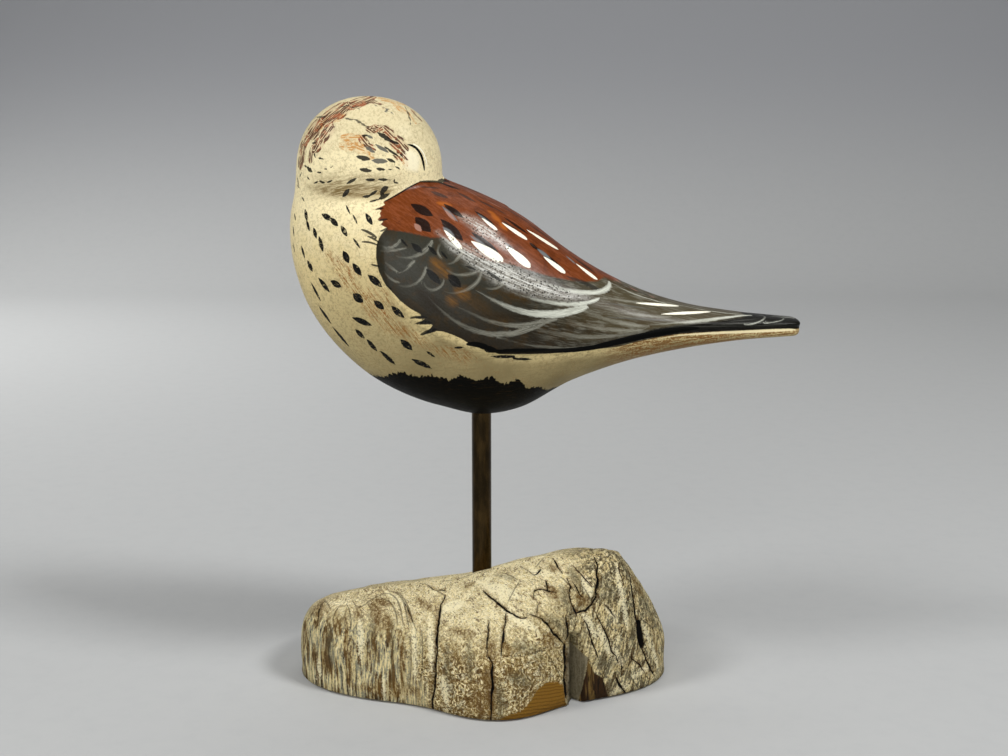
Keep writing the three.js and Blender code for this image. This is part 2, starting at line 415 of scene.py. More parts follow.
    def measure(self, p: Array) -> Array:
        """Signed measure of the whole bird at shares p.

        Formula: body and head in a smooth union over the neck's fold, less the wing's lip and a
        slow unevenness of the knife, in a tight smooth union with the bill.

        Args:
            p: places, in shares.

        Returns:
            The measure, below zero inside.
        """
        body, head, rise = self.parts(p)
        fold = self.neck_fold - self.fold_tightening * np.clip((p[:, 0] + 0.3) / 0.2, 0, 1)
        mix = np.clip(0.5 + 0.5 * (body - head) / fold, 0, 1)
        fused = body + (head - body) * mix - fold * mix * (1 - mix)
        fused = fused - self.lip(p[:, 0], p[:, 2], rise)
        knife = self.knife_marks * value_noise(p * self.length, self.knife_size, 3)
        fused = fused + knife * np.clip(rise / 0.1, 0, 1)
        bill, blend = self.bill(p), self.bill_blend
        mix = np.clip(0.5 + 0.5 * (fused - bill) / blend, 0, 1)
        return fused + (bill - fused) * mix - blend * mix * (1 - mix)

    def to_frame(self, p: Array) -> Array:
        """Turns shares of the bird into millimetres in the part's frame."""
        return p * self.length + np.array([0, 0, self.belly_height])

    def to_shares(self, points: Array) -> Array:
        """Turns millimetres in the part's frame into shares of the bird."""
        return (points - np.array([0, 0, self.belly_height])) / self.length

    def halve(self, start: Array, ways: Array, inner: Array, outer: Array) -> Array:
        """Finds where rays cross the surface between an inner and an outer distance, by halving.

        Args:
            start: where the rays start.
            ways: their directions.
            inner: distances inside the bird.
            outer: distances outside it.

        Returns:
            The points on the surface, in shares.
        """
        for _ in range(HALVINGS):
            middle = (inner + outer) / 2
            inside = self.measure(start + ways * middle[:, None]) < 0
            inner = np.where(inside, middle, inner)
            outer = np.where(inside, outer, middle)
        return start + ways * inner[:, None]

    def surface(self, along: Array, around: Array) -> Array:
        """Surface points over a grid of rays from the core.

        Formula: the rays fan out round the breast from the core's front end, walk down it to the
        tail and fan out again round its end. Above, they lean towards the nape.

        Args:
            along: shares from the breast's pole, 0, to the tail's, 1.
            around: angles about the core, 0 upwards.

        Returns:
            Points in millimetres.
        """
        front, rear = np.array(self.core_front), np.array(self.core_rear)
        up = np.cos(around)
        lean = self.nape_lean * np.maximum(up, 0) ** 2
        quarter = np.pi / 2
        walked = np.clip((along - self.fan_front) / (self.fan_rear - self.fan_front), 0, 1)
        start = front + (rear - front) * walked[:, None]
        polar = quarter + lean * (1 - walked) ** 2
        polar = np.where(along < self.fan_front, along / self.fan_front * (quarter + lean), polar)
        behind = quarter * (1 + (along - self.fan_rear) / (1 - self.fan_rear))
        polar = np.where(along > self.fan_rear, behind, polar)
        tall = (self.loft("back", start[:, 0]) - self.loft("belly", start[:, 0])) / 2
        flat = np.minimum(tall / self.loft("half", start[:, 0]), 1)
        out = np.sin(polar)
        ways = np.stack([-np.cos(polar), np.sin(around) * out, up * out * flat], axis=1)
        ways /= np.linalg.norm(ways, axis=1, keepdims=True)
        tilt = np.arctan2(front[2] - rear[2], rear[0] - front[0]) * (1 - walked)
        c, s = np.cos(tilt), np.sin(tilt)
        x, y, z = ways.T
        ways = np.stack([c * x + s * z, y, c * z - s * x], axis=1)
        count = len(along)
        return self.to_frame(self.halve(start, ways, np.zeros(count), np.full(count, self.ray_reach)))

    def seen_at(self, pixels: Sequence[Pixel]) -> Array:
        """Points of the bird that show at the photograph's pixels.

        Args:
            pixels: columns and rows in the photograph's frame.

        Returns:
            Surface points in millimetres, or points of the plane y = 0 where a ray misses.
        """
        start, ways = VIEW.rays(np.array(pixels, float))
        start = self.to_shares(start)
        steps = np.linspace(VIEW.bird_near, VIEW.bird_far, VIEW.probes) / self.length
        places = start + ways[:, None, :] * steps[None, :, None]
        values = self.measure(places.reshape(-1, 3)).reshape(len(ways), -1)
        hit = (values < 0).any(axis=1)
        first = np.clip(np.argmax(values < 0, axis=1), 1, None)
        found = self.halve(np.broadcast_to(start, ways.shape), ways, steps[first], steps[first - 1])
        missed = start - ways * (start[1] / ways[:, 1])[:, None]
        return self.to_frame(np.where(hit[:, None], found, missed))


class Taper(Enum):
    """How a stroke's width runs, as the powers of its shares from the start and from the end."""

    LEAF = (1.0, 1.0)
    ARC = (0.35, 0.35)
    LICK = (0.8, 0.45)
    SWEEP = (0.9, 0.3)

    def width(self, t: Array) -> Array:
        """Share of the full half width at shares t of the stroke.

        Args:
            t: shares from 0 to 1.

        Returns:
            The widths, 1 at their largest.
        """
        a, b = self.value
        peak = a / (a + b)
        return t ** a * (1 - t) ** b / (peak ** a * (1 - peak) ** b)


Seen = Callable[[Array], Array]


@dataclass(frozen=True)
class Stroke:
    """One touch of the brush: the pixels it runs through, its width in pixels and its taper."""

    path: tuple[Pixel, ...]
    wide: float
    taper: Taper = Taper.LEAF

    def line(self, seen: Seen, count: int = 17) -> "Line":
        """The stroke on a piece, a smooth curve through its path.

        Args:
            seen: finds the piece's points that show at pixels.
            count: how many points the curve has.

        Returns:
            The line, its width in millimetres.
        """
        path = np.array(self.path)
        t = np.linspace(0, 1, count)
        if len(path) > 2:
            legs = np.concatenate([[0], np.cumsum(np.hypot(*np.diff(path, axis=0).T))])
            fit = [np.polyfit(legs / legs[-1], path[:, k], min(len(path) - 1, 4)) for k in (0, 1)]
            pixels = np.stack([np.polyval(f, t) for f in fit], axis=1)
        else:
            pixels = path[0] + (path[1] - path[0]) * t[:, None]
        return Line(seen(pixels), self.wide / 2 / PIXELS_PER_MM, self.taper)


def leaf(u: float, v: float, long: float, wide: float, slant: float, taper: Taper = Taper.LEAF) -> Stroke:
    """A straight stroke.

    Args:
        u: the column of its middle.
        v: the row of its middle.
        long: its length in pixels.
        wide: its full width in pixels.
        slant: its turn below the horizontal to the right, in degrees.
        taper: how its width runs.

    Returns:
        The stroke, from its left or upper end.
    """
    du, dv = math.cos(math.radians(slant)) * long / 2, math.sin(math.radians(slant)) * long / 2
    return Stroke(((u - du, v - dv), (u + du, v + dv)), wide, taper)


Row = tuple[float, float, float, float, float]


def leaves(*rows: Row, taper: Taper = Taper.LEAF) -> tuple[Stroke, ...]:
    """Straight strokes, each row giving column, row, length, width and slant."""
    return tuple(leaf(*row, taper) for row in rows)


def arc(wide: float, *path: Pixel, taper: Taper = Taper.ARC) -> Stroke:
    """A long even stroke through the path's pixels."""
    return Stroke(path, wide, taper)


def sweep(wide: float, *path: Pixel) -> Stroke:
    """A long stroke through the path's pixels, thin at its start and full towards its end."""
    return Stroke(path, wide, Taper.SWEEP)


BREAST_SPOTS = leaves(
    (306, 215, 13, 4.5, 80), (308, 225.5, 12, 3.5, 75), (295, 217, 8, 2.5, 80), (293.5, 231, 12, 2.5, 85),
    (315, 233, 12, 4.5, 75), (321, 244, 17, 5, 75), (294, 248, 10, 2.5, 80), (303, 252, 14, 3.5, 75),
    (327, 217, 13, 5.5, 30), (334, 222, 12, 5.5, 45), (344, 231, 13, 5, 60), (348, 209.5, 11, 2, 65),
    (355, 219, 12, 2, 65), (369, 219, 14, 5, 60), (356.5, 243, 13, 2.5, 55), (346, 257, 14, 7, 65),
    (357, 269.5, 16, 6.5, 55), (310, 266, 13, 6, 65), (324, 285, 19, 6, 52), (336, 284, 13, 7, 30),
    (316, 292, 22, 4, 62), (375, 281, 19, 7, 40), (358, 298, 14, 9, 40), (379, 305, 14, 7, 40),
    (398, 312, 18, 8, 42), (325, 315, 23, 5, 55), (362, 321.5, 22, 6.5, 22), (341, 337, 28, 5, 50),
    (360, 334, 14, 6, 45), (372, 345.5, 17, 6, 50), (388, 358, 22, 6, 42), (406.5, 345, 17, 8, 42),
    (430.5, 354, 12, 3, 35), (422, 364, 24, 6.5, 25), (459, 347.5, 11, 3.5, -5), (505, 356.5, 32, 4, 0),
    (523, 359.2, 21, 3, 0),
)
SHOULDER_WHISKERS = (
    arc(2.6, (361, 229.5), (367, 231.5), (377, 238)), arc(2.0, (367, 236), (372, 238), (379, 242.5)),
    arc(2.0, (361, 242), (370, 242.5), (378, 245.5)), arc(2.0, (371, 264.5), (380, 266.5)),
    arc(2.2, (369, 202), (377, 200)), arc(1.8, (386, 285), (392, 290)),
    arc(2.4, (409, 318.7), (417, 317), (427, 317.5)), arc(2.4, (415, 324.3), (423, 322), (433, 323)),
    arc(3.6, (420, 335.7), (428, 331.5), (437, 329)), arc(2, (375, 209.5), (384, 208)),
    arc(2, (378, 220.5), (388, 219)), arc(2, (380, 231.5), (388, 228)),
)
HEAD_DARKS = leaves(
    (384.5, 137, 19, 5, 33), (393.5, 142, 13, 3.2, 22), (365, 135.5, 8, 2.4, -12),
    (391.5, 151.5, 20, 2.8, 34), (401.5, 155.5, 8, 1.8, 50), (363.5, 158, 16, 5.4, 12),
    (391, 160.5, 12, 3.2, 24), (365.5, 170, 14, 4.4, 8), (380.5, 169.2, 11, 3, 8),
    (390, 169.5, 6, 1.2, 10), (398, 168, 8, 2, 32), (351.5, 181, 13, 3.2, -30),
    (370.5, 179.8, 12, 3.2, 0), (383, 179.6, 11, 3, 3), (393, 179.8, 9, 1.4, -5), (396, 182.8, 6, 2, 10),
    (346, 193, 12, 4.6, -50), (366.5, 196.4, 9, 3.6, -8), (373.5, 193, 10, 3.2, -34),
    (384.5, 189, 10, 5.5, -35), (382, 193, 8, 4, -80), (384, 196.5, 14, 4.4, -28),
    (376, 200, 8, 1.6, -15), (309.5, 169.5, 9, 4.4, 42), (306, 166.5, 6, 2.4, 30),
    (314.5, 155, 7, 1.6, 70), (320.5, 158.5, 7, 2, 12), (319.5, 172.5, 6, 2, 8), (326, 169, 4, 1.4, 5),
    (331.5, 167, 4, 1.2, -35), (300.5, 175, 7, 2, -70), (298, 181, 8, 2.6, 80), (298.5, 187, 4, 1.6, 40),
    (308.5, 178.5, 5, 2, 50), (316, 182.5, 6, 2, -22), (322, 182, 7, 2.6, 25),
    (329.5, 181.5, 7, 2.2, -22), (313.5, 143, 5, 2.4, -20), (303, 199, 6, 1.6, 60),
)
HEAD_GREYS = leaves(
    (370, 137, 9, 3, 30), (370, 149.5, 14, 4, 30), (382, 148.5, 18, 4.2, 32), (379.5, 161, 18, 5.4, 3),
    (386, 109, 8, 1.6, 42), (385, 111.5, 5, 1.8, 5), (391.5, 112, 9, 1.4, 52),
)
RUST_TUFTS = leaves(
    (360, 101, 28, 20, -22), (333, 112.5, 34, 23, -40), (344, 113, 18, 9, -42), (314.5, 128, 26, 24, -58),
    (327, 133, 20, 14, -50), (318, 145, 17, 12, -58), (303.5, 143, 16, 16, -62), (301, 158, 24, 14, -82),
    (311.5, 155, 20, 7, -80), (370.5, 130, 12, 7, 28), (380, 129, 16, 6, 30), (391, 134.5, 26, 10, 44),
    (400.5, 143, 22, 10, 46), (396, 148.5, 18, 6, 44), (403, 154, 16, 5, 52), (398, 157.5, 11, 5, 42),
    (364, 141, 14, 9, 55), (371, 147, 12, 5, 35), (416, 115, 18, 6, 48), (376, 102.5, 15, 6, 16),
    taper=Taper.ARC,
)
OCHRE_TUFTS = leaves(
    (391, 101, 29, 12, 14), (402, 109.5, 20, 10, 28), (352, 137.5, 27, 9, -4), (347, 147, 17, 9, 12),
    (361, 149, 24, 12, 24), (368, 155, 14, 8, 28), (405, 162, 12, 6, 62), (322, 124, 18, 8, -55),
    (340, 118, 16, 5, -35), (412, 118, 16, 5, 52),
    taper=Taper.ARC,
)
# soft strokes of painted shade in the crease between head and body
NECK_FOLD = leaves((348, 191.5, 62, 10, 2), (377, 194, 34, 9, -12), (324, 189, 36, 5, 6))
GRAIN_TOUCHES = leaves(
    (345, 275, 60, 16, 52), (362, 296, 50, 15, 52), (384, 318, 44, 14, 46), (412, 336, 50, 10, 34),
    (334, 262, 24, 11, 50), (388, 300, 26, 7, 55), (450, 352, 60, 8, 15),
)
STAINED_TOUCHES = leaves(
    (372, 292, 24, 7, 60), (384, 312, 18, 6, 50), (352, 272, 22, 9, 40), (372, 316, 16, 6, 45),
)
CROWN_LINES = leaves(
    (349, 119, 11, 2.6, 8), (358.5, 121.5, 9, 3.4, 30), (363.5, 124.5, 9, 2.4, 32),
    (367.5, 127, 5, 1.8, 35), (405.5, 107.5, 6, 1.6, 60), (408, 113, 9, 3, 62), (409.5, 118, 9, 2, 68),
    (410.5, 123, 6, 1.5, 85), (345, 106, 12, 2.2, -12), (352.5, 107.5, 8, 2, 20),
    (358.5, 108.5, 6, 1.6, 25), (321, 117, 12, 3, 0), (376, 105.5, 6, 1.4, 20), (383, 107.5, 5, 1.4, 30),
)
HEAD_SEAM = (
    arc(1.8, (383, 202), (394, 196.5), (405, 190), (419, 182.2)),
    arc(2.2, (419, 181.8), (430, 181.4), (443, 182)), arc(5, (438, 182), (444, 180.5), (450, 183)),
)
MANTLE_DARKS = leaves(
    (422, 210, 26, 10, 28), (423, 224.5, 22, 11.5, 43), (453.5, 210.8, 25, 7, 35), (452, 230, 32, 10, 44),
    (484.5, 218, 26, 5, 36), (485, 242.5, 35, 6.5, 37), (516, 225.5, 32, 4, 35),
    (542.5, 233.5, 40, 3.2, 34), (548, 257, 43, 4.6, 38), (533.5, 246, 12, 4.5, 40),
    (583.5, 264.5, 36, 4.6, 36), (448, 185.5, 28, 5.5, 20),
)
MANTLE_SMOKES = leaves(
    (439.5, 194.6, 20, 5.5, 20), (466, 197, 23, 4.2, 28), (487, 204.5, 24, 4, 26), (500, 211, 18, 3, 28),
    (583, 282.5, 38, 5, 21), (482, 197.5, 40, 2, 25), (508, 210, 30, 2, 32), (520, 217, 34, 2.4, 32),
    (431, 187.5, 22, 2.2, 4), (470, 188.5, 30, 1.8, 24), (510, 226, 22, 3.4, 36), (600, 290, 24, 5, 12),
)
WING_DARKS = leaves(
    (417, 248, 15, 6, 40), (432.5, 250.5, 14, 4, 46), (433.5, 276.5, 22, 7, 46), (454.5, 281, 19, 9, 44),
    (404, 242.5, 12, 2.2, 48), (444, 255, 12, 2.6, 50), (494, 276, 22, 3.4, 34), (471, 268, 14, 2, 20),
)
WING_OCHRES = leaves(
    (438, 266, 20, 7, 45), (446, 273, 10, 5, 50), (462, 293, 16, 7, 35), (452, 301, 12, 4, 40),
)
WING_BROWNS = leaves(
    (474, 302, 46, 14, 32), (512, 296, 40, 6, 18), (498, 317, 34, 7, 12), (590, 326, 44, 5, 8),
    (440, 268, 26, 12, 45), (620, 285, 30, 6, 25), (610, 305, 30, 5, 6),
)
WING_GLOOMS = leaves(
    (526, 293, 34, 5, 20), (520, 318, 70, 5, 4), (565, 296, 40, 3, 14), (430, 302, 40, 14, 45),
    (640, 292, 44, 7, 22), (470, 340, 50, 8, 14), (585, 331, 60, 3, 8), (560, 343, 60, 4, 3),
)
MANTLE_WHITES = leaves(
    (489.5, 224, 20, 4.2, 38), (514.5, 231, 31, 5.5, 34), (542.5, 239.5, 38, 6.2, 32),
    (518, 256.5, 33, 9, 40), (487, 251, 38, 9.5, 32), (554.5, 264.8, 28, 6.6, 37),
    (586.5, 271.5, 27, 6, 37), (453, 239.5, 26, 5.5, 47), (657, 304.4, 44, 4.6, 4),
    (686, 312.9, 50, 4.4, -3),
    taper=Taper.LICK,
)
BLUE_GREYS = leaves(
    (544, 254, 18, 5, 38), (571, 260, 14, 3, 40), (449, 233, 18, 6, 44), (450, 214, 22, 4, 44),
    (478, 241, 20, 3.4, 34), (510, 247, 14, 3, 40), (484, 218.5, 16, 2.4, 36),
)
BLUSHED_WHITES = leaves(
    (418, 227.5, 11, 5.5, 48), (450, 215.5, 16, 3.4, 46), (471, 192.5, 16, 1.3, 28),
    (494.5, 204.5, 20, 1.3, 27), (528, 221, 26, 1.3, 33), (451, 185, 12, 1.2, 15),
    (617, 280.5, 12, 2.6, 32), (634, 289.5, 12, 2.4, 26), (652, 296.5, 8, 2, 24),
)
# strokes along the wing's shoulder: a painted sheen in the colour, and stronger real coat gloss
SHEENS = (
    arc(17, (455, 213), (474, 223), (496, 238), (514, 252), taper=Taper.LEAF),
    arc(25, (436, 232), (462, 251), (490, 266), (520, 281), (552, 292), (590, 298), taper=Taper.LEAF),
)
GLOWS = leaves((496, 218, 14, 7, 42), (503, 226, 12, 6, 50), (492, 213, 10, 4, 30), (444, 204, 16, 5, 10))
BRIGHT_ARCS = (
    sweep(5.6, (533, 277), (545, 283), (560, 288), (575, 291.8), (590, 292.5), (604, 290.5), (612, 285),
          (608, 281.5)),
    sweep(4.2, (511, 291.5), (530, 298), (545, 301.5), (560, 303.8), (575, 304), (590, 302), (600, 298)),
    sweep(7.5, (476, 290), (490, 298), (505, 306), (525, 312), (545, 314.2), (565, 313), (588, 306)),
    arc(2, (611, 282.5), (625, 290), (640, 296), (655, 300.5), (668, 304)),
    arc(1.8, (660, 299.5), (688, 306.8), (709, 310.8), (737, 314.2), (752, 315.6)),
    sweep(3.8, (648, 325), (676, 323), (702, 320.5), (723, 317.8), (752, 315.2)),
    arc(1.6, (758, 315), (765, 317.6), (758, 322.2), (744, 323.6)),
    arc(1.4, (778, 316.8), (783.5, 319), (778, 321.2), (764, 322)),
    arc(1.4, (766, 314.8), (783, 316.4), (797, 318)),
)
SOFT_ARCS = (
    sweep(6, (428, 296), (445, 313.5), (465, 326.5), (485, 333), (505, 334.8), (525, 330), (545, 322.5)),
    sweep(5, (456, 306), (480, 317.5), (500, 323.5), (520, 326), (540, 322.5), (558, 318.5)),
    sweep(3, (497, 337.5), (520, 343.5), (545, 347), (575, 347.5), (604, 343)),
    arc(4.4, (533, 327), (560, 334), (590, 337), (616, 336), (650, 330)),
    arc(4, (565, 319), (588, 326), (616, 330), (645, 331)),
    arc(4, (581, 311), (602, 318), (623, 323.5), (650, 326)),
    arc(3, (592, 305.5), (616, 311), (640, 315), (672, 316.6)),
    arc(3, (598, 297), (620, 300), (642, 303)),
    sweep(3.2, (443, 291), (455, 293), (468, 289), (478, 281), (481, 271)),
    arc(3, (446, 269), (457, 274.5), (467, 274.5), (481, 270)),
    sweep(2.8, (396, 283), (410, 286), (420, 280), (425, 272), (426.5, 266)),
    sweep(3, (398, 273), (404, 271), (410, 265.5), (415.5, 260.5)),
    sweep(3.6, (484, 271.5), (495, 280.5), (502.5, 284), (507.5, 277.5), (510, 269.5)),
    sweep(3.6, (512, 284), (522, 288), (532, 287), (540, 280)),
    arc(2.2, (484, 288), (495, 288.5), (503, 284.5)),
    sweep(4.4, (396, 256), (412, 257), (424, 251.5), (432.5, 240)),
    sweep(3.4, (444, 263.5), (452, 263), (459, 257), (463, 250)),
    arc(2.4, (380, 250.5), (393, 250.5), (407, 247.5)), sweep(3, (379, 244), (388, 248), (401, 239)),
    arc(2, (385, 262), (392, 268), (400, 273)), arc(2.2, (424, 282), (431, 290), (439, 288), (444, 279)),
    arc(2.4, (441, 243), (438, 252), (443, 259)), arc(2, (384, 271), (391, 279), (400, 283)),
)
LOW_BAND = (
    arc(6, (466, 344.3), (480, 345.5), (490, 349), (504, 353)),
    arc(6.5, (486, 352), (520, 351.2), (560, 350.4), (600, 346.4), (625, 341.4)),
    arc(8.5, (590, 347.2), (620, 341), (645, 335), (668, 330.6), (700, 328)),
)
EYE_LINE = (arc(3, (407, 144.5), (416, 148), (422, 157.5), (424.3, 171)),)
EYE_LIGHT = (arc(1.4, (411, 143.4), (419, 147.4), (425.2, 157), (427, 168)),)
LID = leaves((411, 160, 26, 19, 62))
# grey streaks; those along the black tip are a painted highlight
TAIL_LINES = leaves(
    (706, 326.5, 76, 1.6, -1), (740, 323.5, 60, 1.4, -3), (770, 325, 40, 1.6, -3), (690, 324, 40, 2, -6),
    (640, 319, 70, 2.2, 3), (630, 306, 50, 2, 7), (745, 320, 30, 1, -6),
)
# a cream stroke under the tail's black edge: a painted highlight
UNDER_TAIL_HIGHLIGHT = (sweep(3, (655, 339.5), (675, 336), (700, 333.8), (750, 331.6), (798, 329.6)),)
MANTLE_OUTLINE: tuple[Pixel, ...] = (
    (443, 182.5), (430, 181.5), (419, 181.8), (405, 189), (394, 196), (388, 199.5), (383, 202),
    (385, 205), (376.7, 208.6), (381.5, 210.5), (379.5, 213.5), (381, 216), (377.2, 219.8),
    (383.4, 221.3), (380.5, 224.5), (387.4, 228), (383, 232), (379.5, 237), (376.5, 245), (376, 258),
    (379, 272), (385, 284), (392, 292), (400, 300.5), (410, 308.5), (423, 315.5), (410, 318.5),
    (425, 319), (416, 324.5), (433, 324.5), (430, 329), (421, 335.5), (431, 333), (437, 331),
    (443, 331.5), (453, 335), (462, 339), (468, 343), (480, 347.5), (500, 354.3), (550, 353.5),
    (600, 348.8), (618, 346.8), (639, 341.3), (663, 336.4), (681, 333.8), (716, 331.6), (758, 330),
    (797.7, 328.8), (860, 326), (860, 120), (455, 120),
)
CHESTNUT_OUTLINE: tuple[Pixel, ...] = (
    (443, 183), (430, 182), (419, 181.5), (383.4, 201.4), (360, 205), (360, 222), (387.4, 229.5),
    (405.8, 232), (422, 235.6), (434.4, 238), (442.5, 237.5), (454, 243), (463, 249), (478, 257),
    (492.5, 262), (510, 264), (529, 270), (545, 275), (562, 279), (582, 281.6), (597, 281.2), (604, 277),
    (614, 281), (640, 283), (640, 150), (455, 150),
)
BELLY_EDGE: tuple[Pixel, ...] = (
    (370, 374), (383, 377), (392, 373.5), (403, 372), (412, 375.5), (421, 376), (435, 375.5), (449, 380),
    (461, 375.5), (477, 380.6), (491, 377), (503, 384), (519, 379), (527.5, 389), (538, 386),
    (547, 389.5),
)
TIP_OUTLINE: tuple[Pixel, ...] = (
    (655, 329), (680, 325.5), (702, 323), (723, 319.8), (744, 316.4), (748, 300), (860, 300),
    (860, 328.8), (797.7, 328.8), (758, 330), (716, 331.6), (681, 333.8), (655, 338), (640, 336),
    (648, 331.5),
)
LAYERS: dict[str, tuple[Stroke, ...]] = {
    "ochre": OCHRE_TUFTS, "rust": RUST_TUFTS, "head_grey": HEAD_GREYS, "breast": BREAST_SPOTS,
    "head_dark": HEAD_DARKS, "crown_line": CROWN_LINES, "whisker": SHOULDER_WHISKERS,
    "soft_arc": SOFT_ARCS, "bright_arc": BRIGHT_ARCS, "smoke": MANTLE_SMOKES,
    "mantle_dark": MANTLE_DARKS, "wing_dark": WING_DARKS, "blush": BLUSHED_WHITES,
    "blue_grey": BLUE_GREYS, "mantle_white": MANTLE_WHITES, "seam": HEAD_SEAM, "band": LOW_BAND,
    "eye_light": EYE_LIGHT, "eye": EYE_LINE, "tail_line": TAIL_LINES, "under_tail_highlight": UNDER_TAIL_HIGHLIGHT,
}
SOFT_LAYERS: dict[str, tuple[Stroke, ...]] = {
    "grain": GRAIN_TOUCHES, "stained": STAINED_TOUCHES, "lid": LID, "wing_ochre": WING_OCHRES,
    "wing_brown": WING_BROWNS, "wing_gloom": WING_GLOOMS, "glow": GLOWS, "sheen": SHEENS, "fold": NECK_FOLD,
}
TUFTS = ("ochre", "rust")


def polygon_depth(points: Array, outline: Array) -> Array:
    """Signed distance to a flat outline, below zero inside.

    Formula: the least distance to any edge, with the sign from how many edges a ray crosses.

    Args:
        points: flat places.
        outline: the outline's corners in order.

    Returns:
        One distance for each place.
    """
    near = np.full(len(points), np.inf)
    inside = np.zeros(len(points), bool)
    for a, b in zip(outline, np.roll(outline, -1, axis=0)):
        edge = b - a
        t = np.clip((points - a) @ edge / (edge @ edge), 0, 1)
        near = np.minimum(near, np.linalg.norm(points - a - t[:, None] * edge, axis=1))
        crosses = (a[1] > points[:, 1]) != (b[1] > points[:, 1])
        where = a[0] + (points[:, 1] - a[1]) / np.where(edge[1] == 0, 1, edge[1]) * edge[0]
        inside ^= crosses & (points[:, 0] < where)
    return np.where(inside, -near, near)


@dataclass(frozen=True)
class Beside:
    """How a surface's points lie beside the nearest of the lines drawn on it, in millimetres."""

    side: Array
    half: Array
    along: Array

    def margin(self) -> Array:
        """Distance to the nearest line's edge, below zero inside its width."""
        return np.abs(self.side) - self.half

    def keep(self, piece: Piece, name: str) -> None:
        """Stores the three numbers on a piece's points under a layer's name.

        Args:
            piece: the piece.
            name: the layer's name.
        """
        store(piece, name + "_side", self.side)
        store(piece, name + "_half", self.half)
        store(piece, name + "_along", self.along)


@dataclass(frozen=True)
class Line:
    """A line on a surface: its points, its half width and its taper."""

    points: Array
    half: float
    taper: Taper

    def mirrored(self) -> "Line":
        """The same line on the object's other side."""
        return Line(self.points * np.array([1, -1, 1]), self.half, self.taper)


@dataclass(frozen=True)
class Surface:
    """A piece's points and their outward directions, for drawing lines and zones on it.

    Lines matter up to the far distance, and two lines meet where both lie within the distance
    called both. Zones are measured up to their reach, all in millimetres.
    """

    points: Array
    normals: Array
    far: float = 4.0
    both: float = 0.8
    zone_reach: float = 12.0

    def beside(self, lines: Sequence[Line], clear: float = 0.5, signed: bool = False) -> Beside:
        """Measures every point against a layer's lines.

        Formula: the distance to the nearest line is signed by the side of the line that a point
        lies on, so that it runs straight through the line between two points of the mesh, and a
        thin line stays whole. A line's sign is turned where it meets earlier lines, so that both
        agree halfway between them, and it is dropped where they still clash. Beyond the clear
        distance the half width falls to -1, so that nothing shows between distant lines.

        Args:
            lines: the lines of one layer.
            clear: distance from a line's edge, in millimetres, that still matters to the finish.
            signed: keeps every sign as it falls.

        Returns:
            Each point's signed distance, and the nearest line's half width and share there.
        """
        count = len(self.points)
        side, half, along = np.full(count, self.far), np.full(count, -1.0), np.zeros(count)
        margin, second, other = np.full(count, self.far), np.full(count, self.far), np.ones(count)
        for line in lines:
            middle = line.points.mean(axis=0)
            span = np.linalg.norm(line.points - middle, axis=1).max() + line.half + self.far / 2
            near = np.flatnonzero(np.linalg.norm(self.points - middle, axis=1) < span)
            way, wide, share = self.one(near, line)
            edge = np.abs(way) - wide
            meet = (np.abs(edge - margin[near]) < self.both) & (edge < 2 * self.both)
            if np.sum(np.sign(way * side[near])[meet]) < 0:
                way = -way
            better = edge < margin[near]
            lost = np.where(better, margin[near], edge)
            nearer = lost < second[near]
            other[near[nearer]] = np.where(better, side[near], way)[nearer]
            second[near[nearer]] = lost[nearer]
            chosen = near[better]
            margin[chosen], side[chosen] = edge[better], way[better]
            half[chosen], along[chosen] = wide[better], share[better]
        clash = (second < self.both) & (other * side < 0) & (margin > -0.1)
        side = side if signed else np.where(clash, np.abs(side), side)
        half -= (half + 1) * smooth_step((margin - clear) / 0.3)
        return Beside(side, half, along)

    def one(self, near: Array, line: Line) -> tuple[Array, Array, Array]:
        """Signed distance, half width and share along one line, for the points of the given places.

        Args:
            near: the points' numbers.
            line: the line.

        Returns:
            The three numbers for each of the points.
        """
        points, normals = self.points[near], self.normals[near]
        count, legs = len(points), len(line.points) - 1
        away, side, half, along = (np.full(count, value) for value in (np.inf, 0.0, 0.0, 0.0))
        for k in range(legs):
            edge = line.points[k + 1] - line.points[k]
            long = max(np.linalg.norm(edge), 1e-6)
            t = (points - line.points[k]) @ edge / long ** 2
            off = points - line.points[k] - np.clip(t, 0, 1)[:, None] * edge
            distance = np.linalg.norm(off, axis=1)
            before = np.maximum(-t, 0) * long if k == 0 else 0.0
            beyond = np.maximum(t - 1, 0) * long if k == legs - 1 else 0.0
            turn = np.where(np.einsum("ij,ij->i", np.cross(edge, off), normals) < 0, -1.0, 1.0)
            share = (k + np.clip(t, 0, 1)) / legs
            wide = line.half * line.taper.width(share) - before - beyond
            closer = distance < away
            away = np.where(closer, distance, away)
            side, half = np.where(closer, turn * distance, side), np.where(closer, wide, half)
            along = np.where(closer, share, along)
        return side, half, along

    def zone(self, outline: Array) -> Array:
        """Distance to a zone's outline as the side shows it, below zero inside the zone."""
        depth = polygon_depth(self.points[:, [0, 2]], outline[:, [0, 2]])
        return np.clip(depth, -self.zone_reach, self.zone_reach)

    def below(self, line: Array) -> Array:
        """Height above an edge line along the piece, below zero under it.

        Args:
            line: the edge line's points.

        Returns:
            One height for each point.
        """
        order = np.argsort(line[:, 0])
        height = np.interp(self.points[:, 0], line[order, 0], line[order, 2])
        return np.clip(self.points[:, 2] - height, -self.zone_reach, self.zone_reach)


